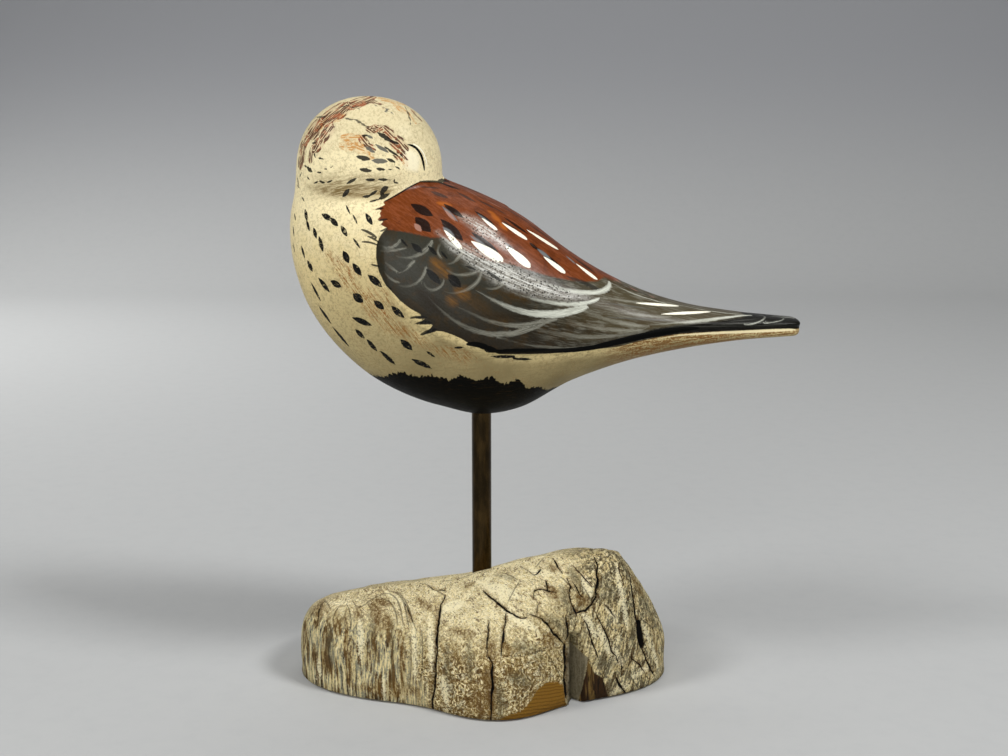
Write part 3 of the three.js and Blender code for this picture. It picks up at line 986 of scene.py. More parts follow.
def grid_normals(points: Array, rings: int, around: int) -> Array:
    """Outward directions of a closed grid's points, from the chords along its rings and columns.

    Args:
        points: the grid's points, poles first and last.
        rings: its rings.
        around: points in each ring.

    Returns:
        One direction of length 1 for each point.
    """
    grid = points[1:-1].reshape(rings, around, 3)
    across = np.roll(grid, -1, axis=1) - np.roll(grid, 1, axis=1)
    out = np.cross(across, np.gradient(grid, axis=0))
    out /= np.maximum(np.linalg.norm(out, axis=2, keepdims=True), 1e-9)
    poles = [points[0] - points[-1], points[-1] - points[0]]
    first, last = (pole / np.linalg.norm(pole) for pole in poles)
    out = out.reshape(-1, 3)
    turn = np.sign(np.sum(out * (points[1:-1] - points.mean(axis=0))))
    return np.concatenate([[first], out * turn, [last]])


Number = Union[int, float, "Signal"]


class Signal:
    """A number in a material's node tree, with Python's operators."""

    def __init__(self, finish: "Finish", socket: Socket) -> None:
        """Wraps one output socket of a finish."""
        self.finish = finish
        self.socket = socket

    def math(self, operation: str, *others: Number) -> "Signal":
        """Puts this number and others through one Math node."""
        return self.finish.math(operation, self, *others)

    def __add__(self, other: Number) -> "Signal":
        """self + other."""
        return self.math("ADD", other)

    __radd__ = __add__

    def __sub__(self, other: Number) -> "Signal":
        """self - other."""
        return self.math("SUBTRACT", other)

    def __rsub__(self, other: Number) -> "Signal":
        """other - self."""
        return self.finish.math("SUBTRACT", other, self)

    def __mul__(self, other: Number) -> "Signal":
        """self * other."""
        return self.math("MULTIPLY", other)

    __rmul__ = __mul__

    def least(self, other: Number) -> "Signal":
        """The smaller of the two."""
        return self.math("MINIMUM", other)

    def ramp(self, low: float, high: float, start: float = 0.0, end: float = 1.0) -> "Signal":
        """Runs smoothly from start to end as this number goes from low to high.

        Args:
            low: where it starts.
            high: where it ends.
            start: the value at low.
            end: the value at high.

        Returns:
            The new number.
        """
        found = self.finish.node(
            "ShaderNodeMapRange", {"interpolation_type": "SMOOTHSTEP"},
            {"Value": self, "From Min": low, "From Max": high, "To Min": start, "To Max": end})
        return Signal(self.finish, found.outputs["Result"])


class Finish:
    """One material and the nodes it is built from."""

    def __init__(self, name: str) -> None:
        """Starts an empty material of that name.

        Args:
            name: the material's name.
        """
        self.material = bpy.data.materials.new(name)
        self.material.use_nodes = True
        self.tree = self.material.node_tree
        self.tree.nodes.clear()
        coordinates = self.node("ShaderNodeTexCoord", {}, {})
        self.place = self.scaled(coordinates.outputs["Object"], (1 / MM, 1 / MM, 1 / MM))

    def node(self, kind: str, settings: dict[str, Any], inputs: dict[Any, Any]) -> bpy.types.Node:
        """Adds a node.

        Args:
            kind: the node's type.
            settings: its properties, set first.
            inputs: values, signals or sockets for its inputs, by name or index.

        Returns:
            The new node.
        """
        made = self.tree.nodes.new(kind)
        for key, value in settings.items():
            setattr(made, key, value)
        for key, value in inputs.items():
            self.feed(made.inputs[key], value)
        return made

    def feed(self, socket: Socket, value: Any) -> None:
        """Links a signal or socket to an input, or sets its constant.

        Args:
            socket: the input.
            value: a signal, a socket or a constant.
        """
        if isinstance(value, Signal):
            self.tree.links.new(value.socket, socket)
        elif isinstance(value, Socket):
            self.tree.links.new(value, socket)
        else:
            socket.default_value = value

    def math(self, operation: str, *values: Number) -> Signal:
        """Adds one Math node over signals and numbers."""
        made = self.node("ShaderNodeMath", {"operation": operation}, dict(enumerate(values)))
        return Signal(self, made.outputs[0])

    def attribute(self, name: str) -> Signal:
        """Reads a number stored on the piece's points."""
        return Signal(self, self.node("ShaderNodeAttribute", {"attribute_name": name}, {}).outputs["Fac"])

    def margin(self, layer: str) -> Signal:
        """Distance to the edge of a layer's nearest stroke, below zero inside it."""
        return self.attribute(layer + "_side").math("ABSOLUTE") - self.attribute(layer + "_half")

    def cover(self, layer: str, fray: Signal, soft: float) -> Signal:
        """How much a layer's strokes cover, their edge frayed and softened in millimetres."""
        return (self.margin(layer) + fray).ramp(soft, -soft)

    def joined(self, x: Signal, y: Signal, z: Signal) -> Socket:
        """A vector from three numbers."""
        return self.node("ShaderNodeCombineXYZ", {}, {0: x, 1: y, 2: z}).outputs[0]

    def axis(self, index: int) -> Signal:
        """One coordinate of the place, in millimetres."""
        return Signal(self, self.node("ShaderNodeSeparateXYZ", {}, {0: self.place}).outputs[index])

    def scaled(self, vector: Socket, by: Triple) -> Socket:
        """Stretches a vector along its axes."""
        return self.node("ShaderNodeVectorMath", {"operation": "MULTIPLY"}, {0: vector, 1: by}).outputs[0]

    def grained(self, turn: Triple, by: Triple) -> Socket:
        """The place turned by angles in degrees and stretched, for a pattern with a direction.

        Args:
            turn: angles about the axes, in degrees.
            by: how much each axis is stretched.

        Returns:
            The new place.
        """
        turned = self.node(
            "ShaderNodeVectorRotate", {"rotation_type": "EULER_XYZ"},
            {"Vector": self.place, "Rotation": tuple(math.radians(a) for a in turn)})
        return self.scaled(turned.outputs[0], by)

    def noise(self, scale: float, detail: float = 3.0, roughness: float = 0.55, distortion: float = 0.0,
              place: Socket | None = None) -> Signal:
        """Cloudy noise from 0 to 1, its scale in cells a millimetre.

        Args:
            scale: cells a millimetre.
            detail: how many finer layers.
            roughness: how strong they are.
            distortion: how much it swirls.
            place: a turned or stretched place.

        Returns:
            The noise.
        """
        made = self.node(
            "ShaderNodeTexNoise", {},
            {"Vector": place or self.place, "Scale": scale, "Detail": detail, "Roughness": roughness,
             "Distortion": distortion})
        return Signal(self, made.outputs["Fac"])

    def cells(self, scale: float, feature: str = "DISTANCE_TO_EDGE", place: Socket | None = None,
              randomness: float = 1.0, flat: bool = False) -> Signal:
        """Distance in a pattern of random cells, its scale in cells a millimetre, in space or flat.

        Args:
            scale: cells a millimetre.
            feature: to the edge, or F1 for the middle.
            place: a turned or stretched place.
            randomness: 0 for a regular pattern.
            flat: reads the place's first two numbers alone.

        Returns:
            The distance.
        """
        made = self.node(
            "ShaderNodeTexVoronoi", {"feature": feature, "voronoi_dimensions": "2D" if flat else "3D"},
            {"Vector": place or self.place, "Scale": scale, "Randomness": randomness})
        return Signal(self, made.outputs["Distance"])

    def mix(self, under: Any, over: Any, share: Number) -> Socket:
        """Lays one colour over another.

        Args:
            under: the colour below.
            over: the colour above.
            share: how much it covers.

        Returns:
            The mixed colour.
        """
        made = self.node(
            "ShaderNodeMix", {"data_type": "RGBA", "blend_type": "MIX", "clamp_factor": True},
            {0: share, 6: under, 7: over})
        return made.outputs[2]

    def coats(self, under: Any, *coats: tuple[Any, Number]) -> Any:
        """Lays coats over a colour in turn, each a colour and how much of it covers, from 0 to 1.

        Args:
            under: the ground.
            coats: each coat's colour and share.

        Returns:
            The last colour.
        """
        for over, share in coats:
            under = self.mix(under, over, share)
        return under

    def bump(self, height: Signal, distance: float, strength: float) -> Socket:
        """Turns a height from 0 to 1 into a normal, over a distance in millimetres."""
        inputs = {"Height": height, "Distance": distance * MM, "Strength": strength}
        return self.node("ShaderNodeBump", {}, inputs).outputs[0]

    def close(self, **inputs: Any) -> bpy.types.Material:
        """Ends the material in one Principled shader with the given inputs.

        Args:
            inputs: the shader's inputs, with _ for a space.

        Returns:
            The material.
        """
        names = {key.replace("_", " "): value for key, value in inputs.items()}
        shader = self.node("ShaderNodeBsdfPrincipled", {}, names)
        self.node("ShaderNodeOutputMaterial", {}, {"Surface": shader.outputs[0]})
        return self.material


def fray_of(fine: Signal, hair: Signal, wobble: float) -> Signal:
    """The unevenness of a painted edge, in millimetres, from fine noise and the brush's hair."""
    return ((fine - 0.5) * 0.45 + (hair - 0.5) * 0.35) * wobble


@dataclass(frozen=True)
class PaintedPlumage:
    """Oil paint on carved wood: cream, chestnut, grey and black, glossy on the wing and rubbed."""

    cream: Colour = paint("E2CE97")
    cream_light: Colour = paint("EDDFB3")
    crown_cream: Colour = paint("CFC29B")
    # the darker cream of the painted shade low on the body, also used in its mottle
    cream_deep: Colour = paint("887A55")
    glaze: Colour = paint("85551F")
    stain: Colour = paint("8A5222")
    neck_crease_shade: Colour = paint("6B562D")
    black: Colour = paint("040403")
    soft_black: Colour = paint("23221F")
    ink_grey: Colour = paint("55554F")
    chestnut: Colour = paint("683211")
    chestnut_light: Colour = paint("85482A")
    chestnut_dark: Colour = paint("451F0B")
    glow: Colour = paint("A65A1C")
    wing_grey: Colour = paint("302F26")
    wing_dark: Colour = paint("211A10")
    wing_brown: Colour = paint("3A290D")
    olive: Colour = paint("4F4733")
    ash: Colour = paint("9B9A8C")
    arc_white: Colour = paint("C9CBBD")
    white: Colour = paint("FAF6E2")
    blue_grey: Colour = paint("75797A")
    blush: Colour = paint("9C7464")
    rust: Colour = paint("8A4323")
    rust_dark: Colour = paint("3C1A0E")
    ochre: Colour = paint("B97D32")
    wing_ochre: Colour = paint("7C5219")
    lid: Colour = paint("F4EBCB")
    # painted highlight: the sheen's pinkish-grey tint and its white streaks
    painted_sheen_tint: Colour = paint("B8B2A6")
    painted_sheen_white: Colour = paint("DADAD2")
    under_tail: Colour = paint("7E4C14")

    def material(self) -> bpy.types.Material:
        """Builds the paint, each layer fraying along the brush where it ends.

        Returns:
            The material.
        """
        f = Finish("painted_plumage")
        fine = f.noise(1.8, 3, 0.6)
        broad = f.noise(0.09, 3, 0.5)
        patches = f.noise(0.28, 4, 0.6)
        hair = f.noise(0.55, 4, 0.65, place=f.grained((0, -36, 0), (0.3, 1.6, 3.2)))

        def cover(layer: str, soft: float, wobble: float) -> Signal:
            """How much a layer's strokes cover, their edge frayed by the brush and softened."""
            return f.cover(layer, fray_of(fine, hair, wobble), soft)

        ink = f.mix(self.black, self.soft_black, fine.ramp(0.4, 0.7))
        worn = 1 - f.noise(1.1, 4, 0.7).ramp(0.55, 0.66) * 0.5
        jag = f.noise(1.3, 2, 0.5, place=f.grained((0, 0, 0), (1, 1, 0.12))) - 0.5
        belly = (f.attribute("belly") + jag * 3.2 + fray_of(fine, hair, 1.0)).ramp(0.12, -0.12)
        rubbed = f.noise(1.6, 3, 0.6, place=f.grained((0, 3, 0), (0.08, 1, 2))).ramp(0.6, 0.7)
        wing, share = self.wing_coat(f, patches, hair, fine, cover)
        band = cover("band", 0.1, 0.3)
        gleam = self.sheen(f, patches)
        bubbles = f.cells(1.1, "F1", randomness=0.9).ramp(0.31, 0.24) * f.noise(0.3, 3, 0.6).ramp(0.3, 0.42)
        pits = bubbles * gleam.ramp(0.1, 0.5) * share
        ground = f.mix(self.cream_coat(f, broad, patches, fine), self.lid, cover("lid", 1.2, 0.5) * 0.75)
        colour = f.coats(
            self.crown(f, ground, fine),
            (self.ink_grey, cover("head_grey", 0.15, 0.7) * 0.92),
            (ink, cover("breast", 0.07, 0.5) * worn),
            (ink, cover("head_dark", 0.07, 0.7) * 0.95),
            (self.soft_black, cover("crown_line", 0.15, 1.3) * 0.8),
            (f.mix(self.black, self.wing_brown, rubbed * 0.6), belly),
            (wing, share),
            (ink, cover("whisker", 0.08, 0.4) * 0.9),
            (self.black, cover("seam", 0.1, 0.4) * 0.9),
            (self.black, band),
            # painted highlight under the tail's black edge
            (self.cream_light, cover("under_tail_highlight", 0.15, 0.5)),
            (self.white, cover("eye_light", 0.12, 0.1) * 0.8),
            (self.black, cover("eye", 0.06, 0.1)),
            (self.soft_black, pits * 0.85),
        )
        rough = 0.5 + (patches - 0.5) * 0.2 - share * 0.12 + pits * 0.3 + (fine - 0.5) * 0.15
        crackle = f.cells(0.9, place=f.grained((10, 30, 5), (1, 1, 0.6))).ramp(0.0, 0.05)
        relief = fine * 0.7 + crackle * 0.2 * (1 - share) + hair * 0.6 - pits * 0.8
        speckle = fine.ramp(0.38, 0.6, 0.55, 1.0) * hair.ramp(0.35, 0.6, 0.6, 1.0)
        varnish = share * (0.25 + gleam * 0.75) * speckle * (1 - pits) * (1 - band)
        gloss = varnish + (1 - belly) * (1 - share) * 0.06
        return f.close(Base_Color=colour, Roughness=rough, Normal=f.bump(relief, 0.14, 0.7),
                       Specular_IOR_Level=0.06, Coat_Weight=gloss, Coat_Roughness=0.28)

    def tufts(self, f: Finish, layer: str, fine: Signal) -> Signal:
        """How much a layer's tufts cover: each wide stroke broken into fine hairs with ragged ends.

        Args:
            f: the finish.
            layer: the tufts' layer.
            fine: fine noise.

        Returns:
            The share, from 0 to 1.
        """
        side, along = f.attribute(layer + "_side"), f.attribute(layer + "_along")
        drift = (fine - 0.5) * 0.25
        across = side * 1.6 + f.axis(2) * 0.06 + drift
        hairs = f.cells(1.0, "F1", f.joined(across, along * 1.5 + across * 0.37, across), 0.85, True)
        ends = f.noise(1.0, 1, 0.5, place=f.joined(side * 1.4, f.axis(2) * 0.1, f.axis(0) * 0.05))
        within = (f.margin(layer) + (ends - 0.5) * 1.6).ramp(0.15, -0.2)
        return within * (hairs + drift * 0.5).ramp(0.5, 0.4)

    def crown(self, f: Finish, colour: Any, fine: Signal) -> Socket:
        """The crown's and cheek's fine ochre and rust hairs.

        Args:
            f: the finish.
            colour: the ground.
            fine: fine noise.

        Returns:
            The colour.
        """
        red = f.mix(self.rust, self.rust_dark, f.noise(0.5, 2, 0.5).ramp(0.38, 0.52) * 0.9)
        return f.coats(
            colour,
            (self.ochre, (f.margin("ochre") + fine - 0.5).ramp(0.6, -0.8) * 0.16),
            (self.ochre, self.tufts(f, "ochre", fine) * f.noise(0.6, 3, 0.7).ramp(0.4, 0.55) * 0.8),
            (self.rust, (f.margin("rust") + fine - 0.5).ramp(0.5, -0.8) * 0.18),
            (red, self.tufts(f, "rust", fine) * 0.92),
        )

    def cream_coat(self, f: Finish, broad: Signal, patches: Signal, fine: Signal) -> Any:
        """The cream ground with its darker belly in painted shade, painted shade in the neck's crease,
        a glazed flank and fine crackle.

        Args:
            f: the finish.
            broad: broad noise.
            patches: patchy noise.
            fine: fine noise.

        Returns:
            The colour.
        """
        lit = (f.axis(2) + (patches - 0.5) * 30).ramp(130, 160)
        crackle = f.cells(0.95, place=f.grained((10, 30, 5), (1, 1, 0.55)))
        lines = crackle.ramp(0.05, 0.0) * patches.ramp(0.42, 0.6)
        mottle = f.noise(1.0, 5, 0.75).ramp(0.47, 0.64)
        streaks = f.noise(0.9, 4, 0.7, place=f.grained((0, -52, 0), (0.14, 1.2, 2.8)))
        worn = (f.margin("grain") + (broad - 0.5) * 4).ramp(2.2, -1.2)
        stained = (f.margin("stained") + (fine - 0.5) * 3).ramp(1.0, -0.6)
        grazed = f.noise(0.8, 4, 0.65, place=f.grained((0, 12, 0), (0.16, 1.2, 2.4)))
        neck = f.attribute("neck")
        fold = f.cover("fold", (grazed - 0.5) * 3 + (fine - 0.5) * 2, 1.6)
        specks = f.noise(1.6, 4, 0.7).ramp(0.58, 0.66)
        long_grain = f.noise(0.9, 4, 0.7, place=f.grained((0, 6, 0), (0.05, 1.2, 2.2)))
        low = f.attribute("undertail")
        return f.coats(
            self.cream,
            (self.cream_light, lit),
            (self.crown_cream, (f.axis(2) + (patches - 0.5) * 12).ramp(166, 182) * 0.9),
            # painted shade: the cream darker low on the body
            (self.cream_deep, f.attribute("shade") * (0.6 + broad * 0.5)),
            # painted highlight: the shade lifted just below the wing's edge
            (self.cream, f.attribute("mantle").ramp(4, 0.5) * f.attribute("shade") * 0.7),
            (self.glaze, lines * 0.4),
            (self.cream_deep, mottle * f.attribute("shade").ramp(0.0, 0.5, 0.4, 0.65)),
            (self.glaze, streaks.ramp(0.47, 0.58) * worn * fine.ramp(0.38, 0.52, 0.3, 0.9)),
            (self.stain, streaks.ramp(0.45, 0.56) * stained * fine.ramp(0.4, 0.55) * 0.7),
            # painted shade in the neck's crease, streaked with the grain
            (self.neck_crease_shade, neck * (0.3 + grazed.ramp(0.4, 0.6) * 0.6)),
            (self.neck_crease_shade, fold * (0.45 + grazed.ramp(0.42, 0.6) * 0.45)),
            (self.glaze, specks * (worn + neck * 0.4).least(1) * 0.75),
            (self.under_tail, (long_grain + (fine - 0.5) * 0.6).ramp(0.44, 0.53) * low * 0.9),
            (self.cream_deep, long_grain.ramp(0.5, 0.64) * f.attribute("shade") * 0.5),
        )

    def wing_coat(self, f: Finish, patches: Signal, hair: Signal, fine: Signal,
                  cover: Callable[..., Signal]) -> tuple[Socket, Signal]:
        """The mantle and folded wing: chestnut over grey, feather edges and spots, and a painted sheen.

        Args:
            f: the finish.
            patches: patchy noise.
            hair: the brush's marks.
            fine: fine noise.
            cover: finds how much a layer covers.

        Returns:
            The colour, and how much of the bird it covers.
        """
        brown = (cover("wing_brown", 1.6, 3.0) + patches.ramp(0.5, 0.6) * 0.5).least(1)
        silk = f.noise(0.8, 4, 0.65, place=f.grained((0, -12, 0), (0.1, 0.8, 2.4)))
        red = f.coats(
            self.chestnut,
            (self.chestnut_light, hair.ramp(0.42, 0.7) * 0.7),
            # lighter at random patches and along the mantle's top, there as painted light
            (self.chestnut_light, (f.attribute("lit_mantle_top") * 0.8 + patches * 0.3).ramp(0.3, 0.9)),
            (self.chestnut_dark, patches.ramp(0.5, 0.66) * 0.45),
            (self.glow, cover("glow", 0.8, 2.0) * 0.8),
        )
        tip = (f.attribute("tip") + fray_of(fine, hair, 1.4)).ramp(0.5, -0.5)
        # painted highlight: the sheen of light along the wing's shoulder, laid into the colour
        painted_sheen_share = self.sheen(f, patches)
        drawn = f.joined(f.attribute("sheen_side") * 2.0, f.attribute("sheen_along") * 5, f.axis(1) * 0.05)
        sheen_streaks = f.noise(1.0, 4, 0.7, place=drawn) + (fine - 0.5) * 0.35
        # the spots' ink greyed by the brush's hair, and lifted by the painted sheen where it lies
        ink = f.mix(self.black, self.ink_grey, (hair.ramp(0.6, 0.72) * 0.35 + painted_sheen_share * 0.4).least(1))
        white = f.mix(self.white, self.ash, hair.ramp(0.56, 0.72) * 0.4)
        colour = f.coats(
            self.wing_grey,
            (self.wing_dark, f.axis(2).ramp(143, 116) * 0.8),
            (self.olive, (f.axis(0) + (hair - 0.5) * 20).ramp(14, 42) * 0.75),
            (self.wing_brown, brown * (0.35 + hair.ramp(0.35, 0.6) * 0.5)),
            (self.wing_dark, f.attribute("mantle").ramp(-3.5, -0.3) * 0.35),
            (self.wing_dark, cover("wing_gloom", 1.2, 2.0) * 0.65),
            (self.ash, silk.ramp(0.46, 0.66) * f.axis(0).ramp(6, 32) * 0.3),
            (self.wing_ochre, cover("wing_ochre", 2.2, 3.5) * hair.ramp(0.36, 0.6, 0.3, 0.85)),
            (self.ash, self.arc_cover(f, "soft_arc", hair, 0.62, 0.65)),
            (red, (f.attribute("chestnut") + fray_of(fine, hair, 1.3)).ramp(0.35, -0.35)),
            (self.black, tip * 0.93),
            # grey streaks, along the black tip a painted highlight
            (self.ink_grey, cover("tail_line", 0.2, 1.4) * 0.55),
            (self.soft_black, cover("smoke", 0.3, 0.8) * 0.72),
            # the painted sheen: a pinkish-grey highlight and white streaks along the shoulder
            (self.painted_sheen_tint, painted_sheen_share * fine.ramp(0.3, 0.55, 0.5, 1.0) * 0.42),
            (self.painted_sheen_white, painted_sheen_share * painted_sheen_share * sheen_streaks.ramp(0.42, 0.62) * 0.9),
            (ink, cover("mantle_dark", 0.12, 0.6) * 0.92),
            (ink, cover("wing_dark", 0.12, 0.7) * 0.9),
            (self.blue_grey, cover("blue_grey", 0.35, 0.9) * 0.8),
            (self.arc_white, self.arc_cover(f, "bright_arc", hair, 1.0, 0.45)),
            (self.blush, cover("blush", 0.15, 0.5) * 0.85),
            (white, cover("mantle_white", 0.1, 0.4) * 0.97),
        )
        return colour, (f.attribute("mantle") + fray_of(fine, hair, 0.5)).ramp(0.1, -0.1)

    def sheen(self, f: Finish, patches: Signal) -> Signal:
        """How much the wing's shoulder shines: painted sheen in the colour, stronger real coat gloss."""
        return (f.margin("sheen") + (patches - 0.5) * 4).ramp(1.8, -3.0)

    def arc_cover(self, f: Finish, layer: str, hair: Signal, strength: float, thin: float) -> Signal:
        """A feather edge's stroke, its bristle marks along it, thin at its start and fuller on.

        Args:
            f: the finish.
            layer: the layer.
            hair: the brush's marks.
            strength: the cover at its fullest.
            thin: how far marks thin it.

        Returns:
            The share, from 0 to 1.
        """
        side = f.attribute(layer + "_side")
        marks = f.noise(1.0, 3, 0.7, place=f.joined(side * 3.6, f.axis(0) * 0.22, f.axis(2) * 0.22))
        edge = (f.margin(layer) + (marks - 0.5) * 1.9 + (hair - 0.5) * 0.6).ramp(0.24, -0.34)
        fuller = f.attribute(layer + "_along").ramp(0.0, 0.8, 0.25, 1.0)
        return edge * fuller * marks.ramp(0.36, 0.58, 1.0 - thin, 1.0) * strength


@dataclass
class Bird:
    """The carved bird, head turned back and bill tucked, with its plumage."""

    carving: Carving = field(default_factory=Carving)
    rings: int = 299
    around: int = 328
    crowding: float = 0.38
    finish: PaintedPlumage = field(default_factory=PaintedPlumage)

    def build(self) -> Piece:
        """Builds the carved surface and stores its painted strokes, zones and tints.

        Returns:
            The bird.
        """
        turn = spread_turn(self.around, self.crowding)
        along = np.repeat(np.arange(1, self.rings + 1) / (self.rings + 1), self.around)
        grid_along = np.concatenate([[0.0], along, [1.0]])
        grid_turn = np.concatenate([[0.0], np.tile(turn, self.rings), [0.0]])
        points = self.carving.surface(grid_along, grid_turn)
        piece = mesh_piece("carved_bird", points, closed_grid(self.rings, self.around))
        surface = Surface(points, grid_normals(points, self.rings, self.around))
        for layers, clear in ((LAYERS, 0.5), (SOFT_LAYERS, 3.0)):
            for name, strokes in layers.items():
                lines = [stroke.line(self.carving.seen_at) for stroke in strokes]
                both = lines + [line.mirrored() for line in lines]
                surface.beside(both, clear, name in TUFTS).keep(piece, name)
        for name, values in {**self.zones(surface), **self.tints(points)}.items():
            store(piece, name, values)
        return piece

    def zones(self, surface: Surface) -> dict[str, Array]:
        """Distances to the outlines of the coloured zones, by name.

        Args:
            surface: the bird's surface.

        Returns:
            Each zone's distances.
        """
        return {
            "mantle": surface.zone(self.carving.seen_at(MANTLE_OUTLINE)),
            "chestnut": surface.zone(self.carving.seen_at(CHESTNUT_OUTLINE)),
            "tip": surface.zone(self.carving.seen_at(TIP_OUTLINE)),
            "belly": surface.below(self.carving.seen_at(BELLY_EDGE)),
        }

    def tints(self, points: Array) -> dict[str, Array]:
        """Soft shares from 0 to 1 of the painted shade in the neck's crease and on the belly, the
        under-tail's tan and the painted light on the mantle's top.

        Args:
            points: the bird's points, in millimetres.

        Returns:
            Each tint's shares.
        """
        shares = self.carving.to_shares(points)
        body, head, _ = self.carving.parts(shares)
        x, z = points[:, 0], points[:, 2]
        low = smooth_step((162 - z) / 62)
        front = smooth_step((x + 66) / 50)
        crease = np.exp(-(((head - body) * self.carving.length / 4) ** 2))
        high = np.clip((168 - z) / 4, 0, 1) * smooth_step((z - 156) / 5)
        near_side = smooth_step((x + 57) / 15) * smooth_step((-18 - x) / 14)
        return {
            # painted shade in the crease between head and body
            "neck": crease * high * near_side,
            # painted shade, darker low on the body
            "shade": low * (0.5 + 0.6 * front),
            "undertail": smooth_step((x - 34) / 14) * smooth_step((108 - x) / 12),
            # painted light along the mantle's top
            "lit_mantle_top": smooth_step((z - 163) / 8),
        }

    def dress(self, piece: Piece) -> None:
        """Paints the bird and gives it its place among the part's nodes.

        Args:
            piece: the bird.
        """
        piece.data.materials.append(self.finish.material())
        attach(piece, BODY)
        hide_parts("bird")


@dataclass(frozen=True)
class PatinatedBrass:
    """Dark brown brass, drawn and polished enough to mirror what is near."""

    brown: Colour = paint("4A3A22")
    dark: Colour = paint("1F1A12")

    def material(self) -> bpy.types.Material:
        """Builds the brass with fine lengthwise draw marks and a patchy patina.

        Returns:
            The material.
        """
        f = Finish("patinated_brass")
        drawn = f.noise(2.2, 3, 0.6, place=f.grained((0, 0, 0), (1, 1, 0.03)))
        patina = f.noise(0.22, 4, 0.6, place=f.grained((0, 0, 0), (1, 1, 0.35)))
        pits = f.noise(3.0, 2, 0.5).ramp(0.66, 0.74)
        colour = f.coats(self.brown, (self.dark, patina.ramp(0.35, 0.65) * 0.8), (self.dark, pits * 0.6))
        rough = 0.2 + drawn * 0.12 + pits * 0.2
        normal = f.bump(drawn * 0.6 - pits * 0.5, 0.03, 0.4)
        return f.close(Base_Color=colour, Roughness=rough, Metallic=1.0, Normal=normal)


@dataclass
class Post:
    """The round rod between the bird and the driftwood, its ends eased."""

    radius: float = 3.175
    easing: float = 0.35
    sides: int = 96
    steps: int = 40
    plain_from: float = 0.8
    finish: PatinatedBrass = field(default_factory=PatinatedBrass)

    def build(self) -> Piece:
        """Builds the rod as a turned profile: its radius along its height, closed at both ends.

        Returns:
            The rod.
        """
        low, high = (corner.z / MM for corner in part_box("post"))
        ease = self.radius - self.easing
        flat = np.array([[ease * 0.5, low], [ease, low], [self.radius, low + self.easing]])
        heights = np.linspace(low + self.plain_from, high - self.plain_from, self.steps)
        body = np.stack([np.full(self.steps, self.radius), heights], axis=1)
        top = np.array([[self.radius, high - self.easing], [ease, high], [ease * 0.5, high]])
        profile = np.concatenate([flat, body, top])
        turn = -np.arange(self.sides) / self.sides * 2 * np.pi
        ring = np.stack([np.cos(turn), np.sin(turn)], axis=1)
        points = np.concatenate([
            [[0, 0, low]],
            *[np.column_stack([ring * r, np.full(self.sides, z)]) for r, z in profile],
            [[0, 0, high]],
        ])
        return mesh_piece("brass_post", points, closed_grid(len(profile), self.sides))

    def dress(self, piece: Piece) -> None:
        """Gives the rod its patina and its place among the part's nodes.

        Args:
            piece: the rod.
        """
        piece.data.materials.append(self.finish.material())
        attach(piece, BODY)
        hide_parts("post")


@dataclass(frozen=True)
class Crack:
    """A drying crack: its width and depth in millimetres and the pixels it runs through."""

    wide: float
    deep: float
    path: tuple[Pixel, ...]

    def dense(self, step: float = 3.0) -> Array:
        """The crack's pixels, one every few along its path.

        Args:
            step: pixels from one to the next.

        Returns:
            The pixels.
        """
        path = np.array(self.path, float)
        legs = np.concatenate([[0], np.cumsum(np.hypot(*np.diff(path, axis=0).T))])
        t = np.linspace(0, legs[-1], max(int(legs[-1] / step), 3))
        return np.stack([np.interp(t, legs, path[:, k]) for k in (0, 1)], axis=1)


